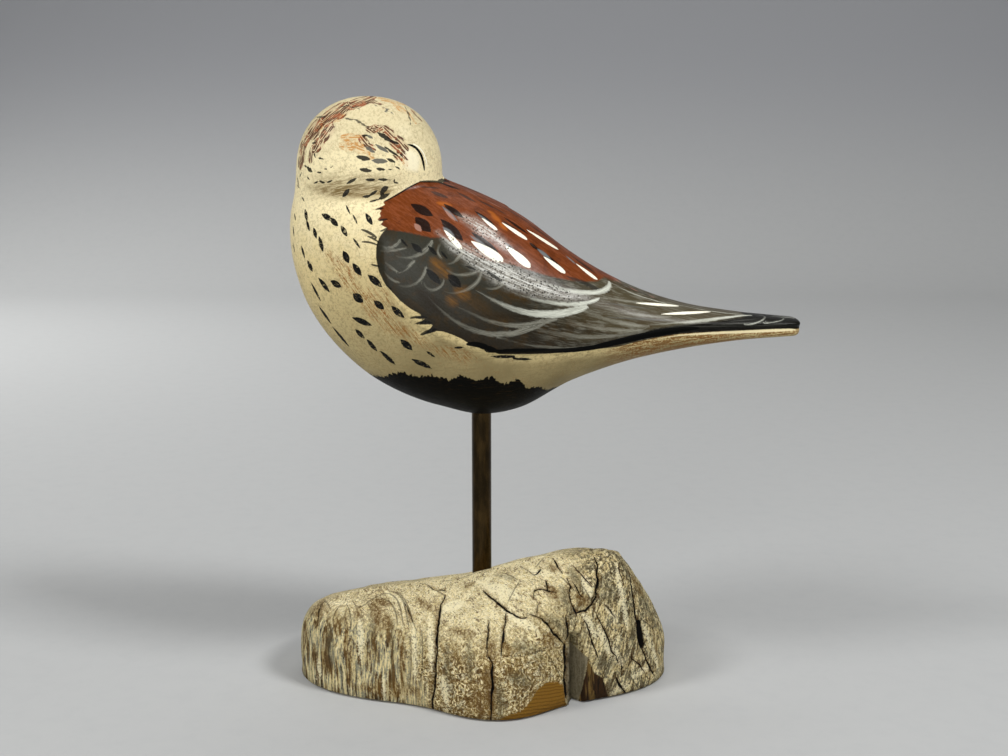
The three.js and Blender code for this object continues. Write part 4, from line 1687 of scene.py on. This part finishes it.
CRACKS = (
    Crack(0.8, 2.0, ((446, 596), (440, 604), (438, 612), (436, 632), (434.5, 652), (433.5, 684), (432, 713))),
    Crack(0.72, 1.6, ((487, 655), (491.5, 662), (492, 690), (490.5, 724))),
    Crack(0.35, 0.6, ((489, 620), (487, 640), (486, 657))),
    Crack(0.5, 0.8, ((506, 610), (504, 630), (502, 645), (500, 660))),
    Crack(0.35, 0.5, ((506, 620), (503, 635))),
    Crack(0.6, 1.0, ((483, 591), (495, 600), (507, 610), (515, 614), (522, 618), (528, 616))),
    Crack(0.64, 1.6, ((528, 613), (536, 615), (543, 618), (549, 624), (553, 632), (560, 640), (566, 645))),
    Crack(0.35, 0.4, ((536, 614), (538, 606), (540, 602))),
    Crack(1.04, 2.6, ((565, 641), (566.5, 655), (567, 668), (565.5, 684), (567, 705))),
    Crack(0.56, 1.2, ((565, 616), (569, 627), (569.5, 635), (566, 642))),
    Crack(0.72, 2.0, ((594.5, 557), (597, 567), (598.5, 580), (597, 594), (594.5, 604), (587, 610),
                      (577, 613))),
    Crack(0.45, 0.8, ((594, 608), (600, 620), (606, 634), (611, 648), (616, 660), (620, 668))),
    Crack(0.4, 0.6, ((584, 619), (590, 632), (592, 642), (598, 658))),
    Crack(0.88, 0.7, ((627.5, 569), (631, 581), (634.5, 600), (636, 617), (640, 632))),
    Crack(0.64, 0.7, ((643, 648), (646, 656), (650, 668), (652, 676))),
    Crack(0.5, 0.8, ((566, 577), (571, 586), (569, 594), (573, 606), (578, 618))),
    Crack(0.35, 0.4, ((572, 581), (578, 590), (584, 598))),
    Crack(0.35, 0.5, ((521, 567), (528, 570), (536, 574), (541, 568))),
    Crack(0.35, 0.5, ((533, 600), (534, 590), (541, 588), (548, 590), (556, 592))),
    Crack(0.35, 0.5, ((546, 580), (548, 590))),
    Crack(0.5, 0.7, ((553, 556), (558, 564), (562, 573))),
    Crack(0.4, 0.6, ((604, 602), (610, 610), (615, 618))),
    Crack(0.6, 0.8, ((614, 676), (620, 685), (627, 696))),
    Crack(0.4, 0.5, ((619, 656), (622, 668), (619, 676))),
    Crack(0.35, 0.5, ((428, 586), (436, 590), (446, 592))),
    Crack(0.35, 0.4, ((633, 648), (632, 658), (640, 664), (648, 680))),
    Crack(0.35, 0.4, ((322, 600), (319, 612), (318, 626))),
    Crack(0.35, 0.4, ((405, 603), (409, 612), (412, 622))),
    Crack(0.3, 0.4, ((618, 566), (621, 577), (623, 584))),
    Crack(0.3, 0.3, ((573, 563), (578, 570), (585, 578), (592, 586))),
)
# the knot hole, sunk in and painted black inside as painted shade
KNOT_HOLE = Crack(2.6, 2.4, ((639.5, 620), (641, 633), (643.5, 649)))
WOOD_STAINS = leaves(
    (317, 607, 20, 14, 80), (326, 596, 18, 7, -25), (367, 658, 24, 7, 88), (375, 650, 26, 7, 82),
    (387, 622, 20, 10, 80), (376, 612, 26, 11, 80), (381, 601, 22, 8, 20), (402, 660, 46, 6, 89),
    (351, 658, 40, 5, 88), (395, 691, 54, 14, -3), (370, 688, 40, 8, 5), (337, 622, 24, 4, 80),
    (346, 628, 28, 4, 86), (358, 612, 14, 6, -75), (462, 632, 26, 8, 10), (456, 655, 16, 8, 85),
    (492, 650, 28, 8, 80), (506, 646, 18, 8, 60), (490, 692, 60, 9, 89), (479, 704, 34, 12, 82),
    (548, 640, 22, 11, 45), (552, 592, 18, 11, 50), (552, 567, 11, 7, 60), (583, 600, 20, 11, 30),
    (600, 549, 46, 6, 2), (619, 553, 26, 7, 38), (634, 580, 40, 6, 60), (656, 645, 34, 5, 80),
    (612, 697, 30, 5, -8), (470, 585, 11, 5, -30), (424, 604, 22, 8, 40), (436, 612, 30, 4, 85),
)
WOOD_SHADOWS = leaves(
    (607, 590, 34, 13, 78), (632, 626, 46, 6, 86), (648, 608, 44, 9, 62), (606, 663, 17, 9, 20),
    (641, 592, 40, 5, 64), (624, 566, 26, 6, 66), (570, 641, 26, 9, 60), (576, 577, 26, 9, 50),
    (565, 598, 28, 9, 76), (527, 648, 30, 10, 8), (536, 654, 18, 5, 30), (520, 680, 30, 12, 20),
    (500, 700, 44, 12, 88), (447, 668, 50, 8, 88), (330, 644, 46, 10, 88), (372, 630, 50, 7, 88),
    (507, 577, 22, 5, 12), (555, 622, 26, 9, 40), (392, 640, 40, 5, 88), (470, 660, 40, 9, 88),
)
WOOD_GLEAMS = leaves(
    (621, 592, 58, 5, 80), (626, 615, 30, 5, 82), (647.5, 636, 26, 4, 72), (604, 640, 36, 7, 68),
    (616, 655, 28, 6, 60), (655, 655, 34, 5, 82), (620, 690, 24, 6, -30), (611, 612, 22, 5, 50),
    (640, 672, 22, 5, -30), (360, 640, 44, 7, 88), (430, 642, 60, 5, 88), (414, 650, 56, 4, 88),
    (340, 603, 24, 6, 0), (395, 597, 28, 4, 35), (452, 606, 30, 12, -20), (520, 620, 44, 9, 30),
    (590, 625, 30, 8, 60), (500, 590, 50, 12, 20), (445, 690, 30, 8, 80), (540, 572, 30, 8, 10),
    (587, 585, 26, 9, 70), (384, 690, 30, 3, 88), (320, 670, 24, 4, 80),
)
WOOD_VEINS = (
    arc(1.5, (383, 592), (396, 598), (401, 612), (403, 624)),
    arc(1.4, (390, 590), (401, 597), (406, 612), (409, 628)),
    arc(1.3, (398, 592), (405, 600), (411, 616), (416, 630)),
    arc(1.5, (380, 598), (391, 603), (396, 614), (397, 626)),
    arc(1.4, (346, 603), (350, 614), (349, 630)), arc(1.4, (341, 604), (335, 612), (333, 624)),
    arc(1.6, (318, 598), (326, 602), (331, 610)),
    arc(1.4, (352, 600), (362, 606), (368, 601), (376, 596), (384, 592)),
    arc(1.2, (500, 572), (509, 575), (518, 580)), arc(1.1, (519, 582), (512, 594), (508, 602)),
    arc(1.3, (560, 576), (568, 583), (575, 592)), arc(1.1, (584, 588), (590, 598), (594, 605)),
    arc(1.2, (543, 557), (538, 563), (535, 567)), arc(1.4, (604, 604), (610, 610), (617, 619)),
    arc(1.2, (632, 648), (632, 658), (633, 666)), arc(1.2, (610, 632), (604, 642), (600, 647)),
    arc(1.3, (616, 552), (621, 562), (624, 576)), arc(1.2, (645, 580), (652, 600), (656, 620)),
    arc(1.3, (640, 618), (648, 624), (655, 632)), arc(1.2, (628, 672), (634, 682), (640, 690)),
    arc(1.2, (424, 584), (434, 590), (446, 597)), arc(1.1, (524, 655), (536, 652), (548, 646)),
    arc(1.1, (545, 652), (556, 668), (563, 684)), arc(1.2, (444, 582), (462, 578), (478, 572)),
    arc(1.2, (330, 640), (329, 655), (331, 670)), arc(1.2, (355, 668), (356, 682), (354, 696)),
    arc(1.2, (377, 640), (374, 665), (372, 690)), arc(1.2, (421, 630), (422, 655), (420, 685)),
    arc(1.2, (410, 640), (411, 665), (409, 690)), arc(1.2, (393, 650), (391, 672), (392, 694)),
)
FRESH_CUT: tuple[Pixel, ...] = (
    (547, 682), (558, 682), (563, 686), (568, 712), (545, 719), (510, 724), (492, 724), (503, 718),
    (520, 712), (528, 706), (533, 698), (538, 690),
)
DARK_CUT: tuple[Pixel, ...] = (
    (588, 660), (592, 668), (594, 673), (602, 677), (606, 688), (609, 702), (595, 706), (578, 706),
    (583, 684),
)
GREY_CUT: tuple[Pixel, ...] = ((567.5, 646), (572, 650), (588, 657), (583, 684), (578, 706), (567, 708))


@dataclass(frozen=True)
class WeatheredWood:
    """Sea-bleached wood: cream and tan, brown mottling, grey weathering, dark cracks."""

    light: Colour = paint("FFF4CA")
    cream: Colour = paint("EFDDA4")
    straw: Colour = paint("C8B480")
    tan: Colour = paint("8C713C")
    brown: Colour = paint("63461F")
    dark: Colour = paint("33250F")
    grey: Colour = paint("9C987F")
    deep_grey: Colour = paint("615A42")
    crack: Colour = paint("0D0905")
    fresh: Colour = paint("8C6522")
    fresh_line: Colour = paint("60400F")
    dark_face: Colour = paint("3A2610")
    dark_stripe: Colour = paint("7A6032")
    pale_face: Colour = paint("8B8168")

    def material(self) -> bpy.types.Material:
        """Builds the weathered wood from its kinds of grain, its cut faces and its cracks.

        Returns:
            The material.
        """
        f = Finish("weathered_wood")
        patches = f.noise(0.25, 5, 0.65, 0.5)
        fine = f.noise(1.5, 4, 0.75)
        fuzz = f.noise(0.95, 3, 0.65, 1.6)
        fibre = f.noise(1.25, 3, 0.65, 0.3, place=f.grained((0, 2, 0), (1, 1, 0.1)))
        bundle = f.noise(0.34, 3, 0.6, 0.4, place=f.grained((0, 2, 0), (1, 1, 0.16)))
        lean = f.noise(0.8, 4, 0.7, 0.5, place=f.grained((0, -18, 0), (1.2, 1, 0.12)))
        grain = f.coats(
            self.ground(f, patches, fine, fuzz),
            (self.fibres(f, fibre, bundle, fine), f.attribute("fibrous")),
            (self.weathering(f, lean, patches, fine), f.attribute("weathered") * 0.9),
        )
        crack = f.margin("crack") + (f.noise(0.35, 2, 0.5) - 0.5) * 0.7
        colour = f.coats(
            self.cuts(f, self.stains(f, grain, fine, fuzz, fibre), fine, fuzz, fibre),
            (self.brown, crack.ramp(0.9, 0.0) * fine.ramp(0.42, 0.58) * 0.8),
            (self.crack, (crack + (fine - 0.5) * 0.7).ramp(0.1, -0.06)),
            # painted shade: the knot hole's inside painted black
            (self.crack, (f.margin("hole") + (fine - 0.5) * 0.6).ramp(0.4, 0.15)),
        )
        ridges = fibre * f.attribute("fibrous") * 1.1 + lean * f.attribute("weathered")
        normal = f.bump(fine * 0.5 + fuzz * 0.6 + ridges, 1.3, 1.0)
        return f.close(Base_Color=colour, Roughness=0.85, Normal=normal, Specular_IOR_Level=0.15)

    def ground(self, f: Finish, patches: Signal, fine: Signal, fuzz: Signal) -> Any:
        """The middle's woolly grain: bright cream on top as painted light, straw below as painted
        shade, brown towards the foot.

        Args:
            f: the finish.
            patches: patchy noise.
            fine: fine noise.
            fuzz: swirling noise.

        Returns:
            The colour.
        """
        foot, top = f.attribute("brown_foot"), f.attribute("lit_top")
        # painted shade: the darker coats are held to faces that don't face up
        low = 1 - top
        wool = f.noise(0.62, 5, 0.72, 2.0)
        scratch = f.noise(0.8, 3, 0.7, 0.8, place=f.grained((0, -38, 0), (0.3, 1, 2.2)))
        flecks = f.noise(1.0, 3, 0.65, 0.6)
        return f.coats(
            self.cream,
            # painted light: upward faces lighter
            (self.light, top * fuzz.ramp(0.6, 0.44)),
            (self.straw, patches.ramp(0.42, 0.56) * (0.25 + low * 0.6)),
            (self.tan, (wool + foot * 0.04).ramp(0.47, 0.54) * (0.2 + low * 0.7)),
            (self.grey, f.noise(0.4, 3, 0.6, 1.0).ramp(0.52, 0.62) * low * 0.6),
            (self.brown, (scratch + (patches - 0.5) * 0.4).ramp(0.56, 0.6) * top * 0.85),
            (self.tan, (scratch + (fine - 0.5) * 0.3).ramp(0.46, 0.4) * top * 0.5),
            (self.brown, (flecks + foot * 0.03 - top * 0.05).ramp(0.57, 0.61) * 0.8),
            (self.brown, (wool + (fine - 0.5) * 0.5 + foot * 0.04).ramp(0.55, 0.6) * low * 0.85),
            (self.dark, (wool + (fine - 0.5) * 0.9 - top * 0.06).ramp(0.63, 0.67) * 0.85),
            (self.light, (wool + (fine - 0.5) * 0.7).ramp(0.44, 0.38) * (0.85 - top * 0.3)),
        )

    def fibres(self, f: Finish, fibre: Signal, bundle: Signal, fine: Signal) -> Any:
        """The left face's upright fibres, in bundles of cream, grey, tan and brown.

        Args:
            f: the finish.
            fibre: upright fibres.
            bundle: their bundles.
            fine: fine noise.

        Returns:
            The colour.
        """
        return f.coats(
            self.grey,
            (self.cream, (fibre + (fine - 0.5) * 0.4).ramp(0.54, 0.44)),
            (self.tan, bundle.ramp(0.5, 0.6) * 0.7),
            (self.light, (fibre + (fine - 0.5) * 0.3).ramp(0.4, 0.34) * 0.8),
            (self.brown, (fibre + (bundle - 0.5) * 0.8 + (fine - 0.5) * 0.3).ramp(0.54, 0.61) * 0.85),
            (self.dark, (fibre + (fine - 0.5) * 0.5).ramp(0.6, 0.66) * 0.8),
        )

    def weathering(self, f: Finish, lean: Signal, patches: Signal, fine: Signal) -> Any:
        """The right end's grey-brown mottling with cream streaks down its slope.

        Args:
            f: the finish.
            lean: leaning streaks.
            patches: patchy noise.
            fine: fine noise.

        Returns:
            The colour.
        """
        return f.coats(
            self.straw,
            (self.grey, (patches + (fine - 0.5) * 0.6).ramp(0.44, 0.56)),
            (self.deep_grey, (lean + (patches - 0.5) * 0.8).ramp(0.48, 0.56) * 0.75),
            (self.cream, (lean + (fine - 0.5) * 0.5).ramp(0.47, 0.42) * 0.9),
            (self.light, (lean + fine).ramp(0.88, 0.82)),
            (self.brown, (lean + (fine - 0.5) * 0.8).ramp(0.53, 0.58) * 0.75),
            (self.dark, (fine + (lean - 0.5) * 0.7).ramp(0.56, 0.6) * 0.95),
        )

    def stains(self, f: Finish, colour: Any, fine: Signal, fuzz: Signal, fibre: Signal) -> Any:
        """Brown stains, grey shadows, cream gleams, dark veins and the left crown's curly grain.

        Args:
            f: the finish.
            colour: the wood below.
            fine: fine noise.
            fuzz: swirling noise.
            fibre: upright fibres.

        Returns:
            The colour.
        """
        rough = (fine - 0.5) * 5 + (fuzz - 0.5) * 5
        dusk = (f.margin("shadow") + rough).ramp(1.4, -1.2)
        stained = (f.margin("stain") + rough).ramp(1.0, -0.8)
        gleam = (f.margin("gleam") + rough * 0.5).ramp(0.7, -0.5)
        vein = (f.margin("vein") + (fine - 0.5) * 1.1).ramp(0.16, -0.1)
        rings = (f.noise(0.1, 2, 0.5, 0.8) * 110 + fine * 2).math("SINE")
        curly = f.attribute("lit_top") * f.axis(0).ramp(-20, -32)
        return f.coats(
            colour,
            (self.deep_grey, dusk * (0.35 + fuzz.ramp(0.44, 0.56) * 0.5)),
            (self.tan, stained * 0.45),
            (self.brown, stained * (fibre + fine - 0.5).ramp(0.42, 0.54) * 0.85),
            (self.light, gleam * fine.ramp(0.62, 0.5) * 0.85),
            (self.dark, vein * 0.65),
            (self.brown, rings.ramp(0.3, 0.95) * curly * 0.55),
        )

    def cuts(self, f: Finish, colour: Any, fine: Signal, fuzz: Signal, fibre: Signal) -> Any:
        """The faces that split off late: golden with growth rings, dark and striped, and grey.

        Args:
            f: the finish.
            colour: the wood around.
            fine: fine noise.
            fuzz: swirling noise.
            fibre: upright fibres.

        Returns:
            The colour.
        """
        wobble = (fine - 0.5) * 1.4 + (fuzz - 0.5) * 1.2
        rings = (f.axis(2) * 6 + f.axis(0) * 0.7 + f.noise(0.12, 2, 0.5) * 14 + fine).math("SINE")
        cut = f.mix(self.fresh, self.fresh_line, rings.ramp(0.1, 1.0) * (0.3 + fine * 0.7))
        stripe = f.noise(0.55, 2, 0.6, place=f.grained((0, 4, 0), (1, 1, 0.04)))
        face = f.mix(self.dark_face, self.dark_stripe, stripe.ramp(0.5, 0.6) * 0.9)
        face = f.mix(face, self.crack, fibre.ramp(0.52, 0.6) * 0.8)
        pale = f.mix(self.pale_face, self.deep_grey, (fibre + (fine - 0.5)).ramp(0.46, 0.6) * 0.6)
        return f.coats(
            colour,
            (cut, (f.attribute("fresh_cut") + wobble).ramp(0.3, -0.3)),
            (face, (f.attribute("dark_cut") + wobble * 0.6).ramp(0.25, -0.25)),
            (pale, (f.attribute("grey_cut") + wobble * 0.3).ramp(0.25, -0.25)),
        )


@dataclass
class Driftwood:
    """The chunk of driftwood, as a height over a bent ellipse, with cracks, notch and knot hole."""

    left: float = 60.6
    right: float = 61.2
    front: float = 29.5
    back: float = 37.0
    middle_y: float = 4.0
    bulge: float = 12.0
    bulge_x: float = 6.0
    bulge_spread: float = 20.0
    ridge_left: float = 33.0
    ridge_right: float = 50.5
    climb_x: float = 12.7
    climb_run: float = 29.4
    shoulder_x: float = 45.5
    ridge_y: float = -9.0
    shoulder_fall: float = 1.25
    back_fall: float = 0.42
    back_ease: float = 0.0095
    front_round: float = 0.012
    foot_fullness: float = 2.3
    side_fullness: float = 4.4
    end_softness: float = 0.4
    notch_x: float = 27.8
    notch_y: float = -21.5
    notch_high: float = 25.0
    notch_ease: float = 5.0
    notch_wide: float = 14.0
    notch_back: float = -15.0
    undercut: float = 0.96
    lift: float = 0.7
    wander: float = 0.3
    kink: float = 0.25
    rings: int = 196
    around: int = 500
    crowding: float = 0.45
    finish: WeatheredWood = field(default_factory=WeatheredWood)

    def crest(self, x: Array, y: Array) -> Array:
        """Height of the crest over a place: a ridge that climbs to the right and breaks off in a
        shoulder, with a rounded slope before it and a steeper fall behind that eases off.

        Args:
            x: places across.
            y: places in depth.

        Returns:
            The heights.
        """
        climb = 0.5 + 0.5 * np.tanh((x - self.climb_x) / self.climb_run)
        ridge = self.ridge_left + (self.ridge_right - self.ridge_left) * climb
        beyond, behind = np.maximum(x - self.shoulder_x, 0), np.maximum(y - self.ridge_y, 0)
        before = np.maximum(self.ridge_y - y, 0)
        slope = self.back_fall * behind * (1 - self.back_ease * behind)
        return ridge - self.shoulder_fall * beyond - slope - self.front_round * before ** 2

    def foot(self, angle: Array) -> Array:
        """Distance from the base's middle to its foot: a full ellipse with a bulge in front and
        slow lobes behind.

        Args:
            angle: angles about the middle, in radians.

        Returns:
            The distances.
        """
        c, s = np.cos(angle), np.sin(angle)
        sideways = np.where(c < 0, self.left, self.right)
        depth = np.where(s < 0, self.front + self.middle_y, self.back - self.middle_y)
        power = self.foot_fullness
        full = (np.abs(c / sideways) ** power + np.abs(s / depth) ** power) ** (-1 / power)
        bulge = self.bulge * np.exp(-(((c * full - self.bulge_x) / self.bulge_spread) ** 2))
        lobes = 1.1 * np.sin(3 * angle + 0.8) + 0.8 * np.sin(5 * angle + 2.1)
        return full + np.where(s < 0, bulge * s * s, 0) + lobes * np.maximum(s, 0)

    def smooth_form(self, up: Array, angle: Array) -> Array:
        """The wood's form before it cracked, up from 0 at the foot to 1 at the crown.

        Formula: the foot's distance shrinks and the crest's height grows along a full round arc.

        Args:
            up: shares from the foot to the crown.
            angle: angles, in radians.

        Returns:
            The points.
        """
        full = self.side_fullness - self.end_softness * np.cos(angle)
        turn = up * np.pi / 2
        reach = self.foot(angle) * np.cos(turn) ** (2 / full)
        x, y = np.cos(angle) * reach, self.middle_y + np.sin(angle) * reach
        return np.stack([x, y, self.crest(x, y) * np.sin(turn) ** (2 / full)], axis=1)

    def finder(self, points: Array, normals: Array) -> Seen:
        """Makes the function that finds where the photograph's pixels fall on the wood: each ray
        meets its nearest point's face.

        Args:
            points: the wood's points.
            normals: their outward directions.

        Returns:
            The function.
        """
        def seen(pixels: Array) -> Array:
            """Points of the wood at the pixels. Formula: the nearest point is the one that lies
            least off the ray and least far along it, and the ray ends on the flat through it.

            Args:
                pixels: columns and rows in the photograph's frame.

            Returns:
                One point for each pixel.
            """
            start, ways = VIEW.rays(np.array(pixels, float))
            offset = points - start
            found = []
            for way in ways:
                along, facing = offset @ way, normals @ way
                miss = np.linalg.norm(offset - along[:, None] * way, axis=1)
                best = np.argmin(miss * 60 + along + 1000 * (facing > -0.05))
                slope = min(facing[best], -0.2)
                found.append(start + way * (offset[best] @ normals[best] / slope))
            return np.array(found)
        return seen

    def drawn(self, cracks: Sequence[Crack], seen: Seen) -> list[Line]:
        """The cracks as lines on the wood, wandering by small kinks.

        Args:
            cracks: the cracks.
            seen: finds the wood's points at pixels.

        Returns:
            One line for each crack.
        """
        lines = []
        for crack in cracks:
            found = seen(crack.dense())
            wander = np.stack([value_noise(found + 50 * k, 2.2, 11 + k) for k in range(3)], axis=1)
            kinks = np.stack([value_noise(found + 50 * k, 0.9, 41 + k) for k in range(3)], axis=1)
            path = found + self.wander * wander + self.kink * kinks
            lines.append(Line(path, crack.wide / 2, Taper.ARC))
        return lines

    def sink(self, cracks: Sequence[Crack], surface: Surface, lines: Sequence[Line]) -> Array:
        """How deep the cracks draw the surface in: each a narrow valley along its line.

        Args:
            cracks: the cracks.
            surface: the wood's surface.
            lines: their lines.

        Returns:
            One depth for each point.
        """
        depth = np.zeros(len(surface.points))
        for crack, line in zip(cracks, lines):
            found = surface.beside([line], 3.0)
            valley = np.exp(-((np.abs(found.side) / max(crack.wide * 0.7, 0.5)) ** 2))
            ends = np.clip(4 * found.along * (1 - found.along), 0, 1)
            depth = np.maximum(depth, crack.deep * valley * ends)
        return depth

    def build(self) -> Piece:
        """Builds the wood and stores its cracks, cut faces and the shares of its kinds of grain.

        Returns:
            The driftwood.
        """
        turn = -spread_turn(self.around, self.crowding) - np.pi / 2
        up = np.repeat(np.concatenate([[0.0], np.arange(self.rings - 1) / (self.rings - 1)]), self.around)
        form = self.smooth_form(up, np.tile(turn, self.rings))
        middle = np.array([0, self.middle_y])
        form[:self.around, :2] = (form[:self.around, :2] - middle) * self.undercut + middle
        form[self.around:2 * self.around, 2] = self.lift
        crown = self.smooth_form(np.array([1.0]), np.array([0.0]))
        points = np.concatenate([[[0, self.middle_y, 0]], form, crown])
        surface = Surface(points, grid_normals(points, self.rings, self.around))
        seen = self.finder(points, surface.normals)
        cracks, hole = self.drawn(CRACKS, seen), self.drawn((KNOT_HOLE,), seen)
        away = surface.beside(hole, 3.0)
        sunk = self.sink(CRACKS, surface, cracks)
        sunk = np.maximum(sunk, KNOT_HOLE.deep * smooth_step((0.6 - away.margin()) / 1.2))
        held = smooth_step((points[:, 2] - self.lift) / 3)
        moved = points + surface.normals * ((self.weather(points) - sunk) * held)[:, None]
        piece = mesh_piece("driftwood", self.notch(moved), closed_grid(self.rings, self.around))
        surface.beside(cracks, 1.5).keep(piece, "crack")
        away.keep(piece, "hole")
        drawn = {"stain": WOOD_STAINS, "shadow": WOOD_SHADOWS, "gleam": WOOD_GLEAMS, "vein": WOOD_VEINS}
        for name, strokes in drawn.items():
            surface.beside([stroke.line(seen, 9) for stroke in strokes], 4.0).keep(piece, name)
        zones = {"fresh_cut": FRESH_CUT, "dark_cut": DARK_CUT, "grey_cut": GREY_CUT}
        for name, outline in zones.items():
            store(piece, name, np.where(points[:, 1] < 0, surface.zone(seen(outline)), 9.0))
        for name, share in self.kinds(points, surface.normals).items():
            store(piece, name, share)
        return piece

    def kinds(self, points: Array, normals: Array) -> dict[str, Array]:
        """Shares of fibrous left face, upward top painted lit, brown foot and weathered right end.

        Args:
            points: the wood's points.
            normals: their outward directions.

        Returns:
            Each kind's shares.
        """
        x, _, z = points.T
        rise = smooth_step((normals[:, 2] - 0.25) / 0.5)
        left = smooth_step((-12 - x + 7 * value_noise(points, 6.0, 31)) / 16) * (1 - rise * 0.85)
        right = smooth_step((x - 22 + 6 * value_noise(points, 9.0, 32)) / 14)
        middle = np.exp(-(((x - 2) / 20) ** 2)) * smooth_step((26 - z) / 14)
        # upward faces, which the wood's colour paints lit
        top = rise * (1 - right * 0.7)
        return {"fibrous": left, "lit_top": top, "brown_foot": middle, "weathered": right}

    def weather(self, points: Array) -> Array:
        """Worn relief: slow dents, upright ridges on the left face and shallow hollows.

        Args:
            points: the wood's points.

        Returns:
            One height for each point.
        """
        slow = 0.6 * value_noise(points, 14.0, 21) + 0.35 * value_noise(points, 6.5, 22)
        grain = value_noise(points * np.array([1, 1, 0.15]), 3.0, 23)
        left = smooth_step((-8 - points[:, 0]) / 25) * smooth_step((30 - points[:, 2]) / 8)
        right = smooth_step((points[:, 0] - 25) / 10)
        folds = value_noise(points * np.array([1, 1, 0.3]), 4.0, 26)
        return slow + 0.3 * grain * (0.2 + 0.8 * left) + 0.4 * folds * right

    def notch(self, points: Array) -> Array:
        """Draws the split wedge back: points in front of its two faces move onto them.

        Args:
            points: the wood's points.

        Returns:
            The moved points.
        """
        x, y, z = points.T
        slant = self.notch_y - (x - self.notch_x)
        top = smooth_step((self.notch_high - z) / self.notch_ease)
        across = (x > self.notch_x) & (x < self.notch_x + self.notch_wide)
        inside = across & (y < slant) & (y < self.notch_back)
        moved = points.copy()
        moved[:, 1] = np.where(inside, y + (slant - y) * top, y)
        return moved

    def dress(self, piece: Piece) -> None:
        """Gives the wood its finish and its place among the part's nodes.

        Args:
            piece: the driftwood.
        """
        piece.data.materials.append(self.finish.material())
        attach(piece, BODY)
        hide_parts("driftwood_base")


@dataclass
class Studio:
    """A pale floor that turns up into a mid-grey backdrop with painted shade up high, under soft lights."""

    floor_tone: Colour = paint("B4B5B4")
    wall_tone: Colour = paint("A0A1A4")
    near_edge: float = -1500.0
    bend_from: float = 930.0
    bend: float = 420.0
    wall_high: float = 1500.0
    half_wide: float = 2600.0
    flat_rows: int = 30
    bend_rows: int = 60
    wall_rows: int = 20
    columns: int = 12
    air: Colour = (0.93, 0.95, 1.0, 1.0)
    air_strength: float = 0.07

    def sweep(self) -> Piece:
        """Builds the floor and backdrop as one sheet: flat, then a quarter turn, then upright.

        Returns:
            The backdrop.
        """
        depths = np.linspace(self.near_edge, self.bend_from, self.flat_rows)
        flat = np.stack([depths, np.zeros(self.flat_rows)], axis=1)
        a = np.linspace(0, np.pi / 2, self.bend_rows)
        turn = np.stack([self.bend_from + self.bend * np.sin(a), self.bend * (1 - np.cos(a))], axis=1)
        heights = np.linspace(self.bend, self.wall_high, self.wall_rows)
        rise = np.stack([np.full(self.wall_rows, self.bend_from + self.bend), heights], axis=1)
        profile = np.concatenate([flat, turn[1:], rise[1:]])
        xs = np.linspace(-self.half_wide, self.half_wide, self.columns)
        points = np.array([[x, y, z] for y, z in profile for x in xs])
        i, j = np.meshgrid(np.arange(len(profile) - 1), np.arange(len(xs) - 1), indexing="ij")
        base = (i * len(xs) + j).ravel()
        faces = np.stack([base, base + 1, base + 1 + len(xs), base + len(xs)], axis=1)
        sheet = mesh_piece("backdrop", points, [tuple(q) for q in faces.tolist()])
        sheet.data.materials.append(self.paper())
        sheet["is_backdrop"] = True
        return sheet

    def paper(self) -> bpy.types.Material:
        """The backdrop's paper, darker as it rises in painted shade, with a faint mottle.

        Returns:
            The material.
        """
        f = Finish("backdrop_paper")
        mottle = f.noise(0.12, 4, 0.7).ramp(0.4, 0.8)
        # painted shade: the backdrop darker with height
        tone = f.coats(
            self.floor_tone, (self.wall_tone, f.axis(2).ramp(0, 260)), (self.wall_tone, mottle * 0.14))
        return f.close(Base_Color=tone, Roughness=0.95, Specular_IOR_Level=0.1)

    def light(self, name: str, place: Sequence[float], aim: Sequence[float], size: float, power: float,
              spread: float = 180.0) -> None:
        """Adds one square soft light at a place, aimed at another: millimetres, watts, degrees.

        Args:
            name: its name.
            place: where it stands.
            aim: what it faces.
            size: its side.
            power: its power.
            spread: its beam's full angle.
        """
        data = bpy.data.lights.new(name, "AREA")
        data.size = size * MM
        data.energy = power
        data.spread = math.radians(spread)
        lamp = bpy.data.objects.new(name, data)
        way = np.array(aim, float) - np.array(place, float)
        lamp.location = [c * MM for c in place]
        yaw, level = math.atan2(-way[0], way[1]), math.hypot(way[0], way[1])
        lamp.rotation_euler = (math.atan2(level, -way[2]), 0, yaw)
        bpy.context.scene.collection.objects.link(lamp)

    def set_up(self) -> None:
        """Makes the backdrop, the lights and the pale surroundings."""
        self.sweep()
        self.light("left_soft_box", (-717, -365, 850), (0, 0, 100), 260, 5.4)
        self.light("right_soft_box", (617, -401, 917), (0, 0, 100), 260, 8.3)
        self.light("front_panel", (-220, -1000, 400), (0, -100, 60), 700, 5.6)
        self.light("back_soft_box", (-760, 560, 900), (-520, 680, 0), 400, 2.1, 84)
        self.light("ceiling", (300, 900, 1900), (300, 1120, 0), 1000, 4.4, 105)
        world = bpy.data.worlds.new("studio")
        world.use_nodes = True
        background = world.node_tree.nodes["Background"]
        background.inputs["Color"].default_value = self.air
        background.inputs["Strength"].default_value = self.air_strength
        bpy.context.scene.world = world
        bpy.context.scene.view_settings.view_transform = "Standard"


def save_size() -> None:
    boxes = {name: [list(map(float, corner)) for corner in box] for name, box in
             (("cad", CAD_BOX), ("visual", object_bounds()))}


def main() -> None:
    """Builds and dresses each piece in order and reports it."""
    logging.basicConfig(level=logging.INFO, format="%(name)s: %(message)s")
    VIEW.camera()
    Studio().set_up()
    for assembly in (Driftwood(), Post(), Bird()):
        piece = assembly.build()
        assembly.dress(piece)
        LOG.info("%s: %d points, %d faces", piece.name, len(piece.data.vertices), len(piece.data.polygons))
    save_size()


if __name__ == "__main__":
    main()
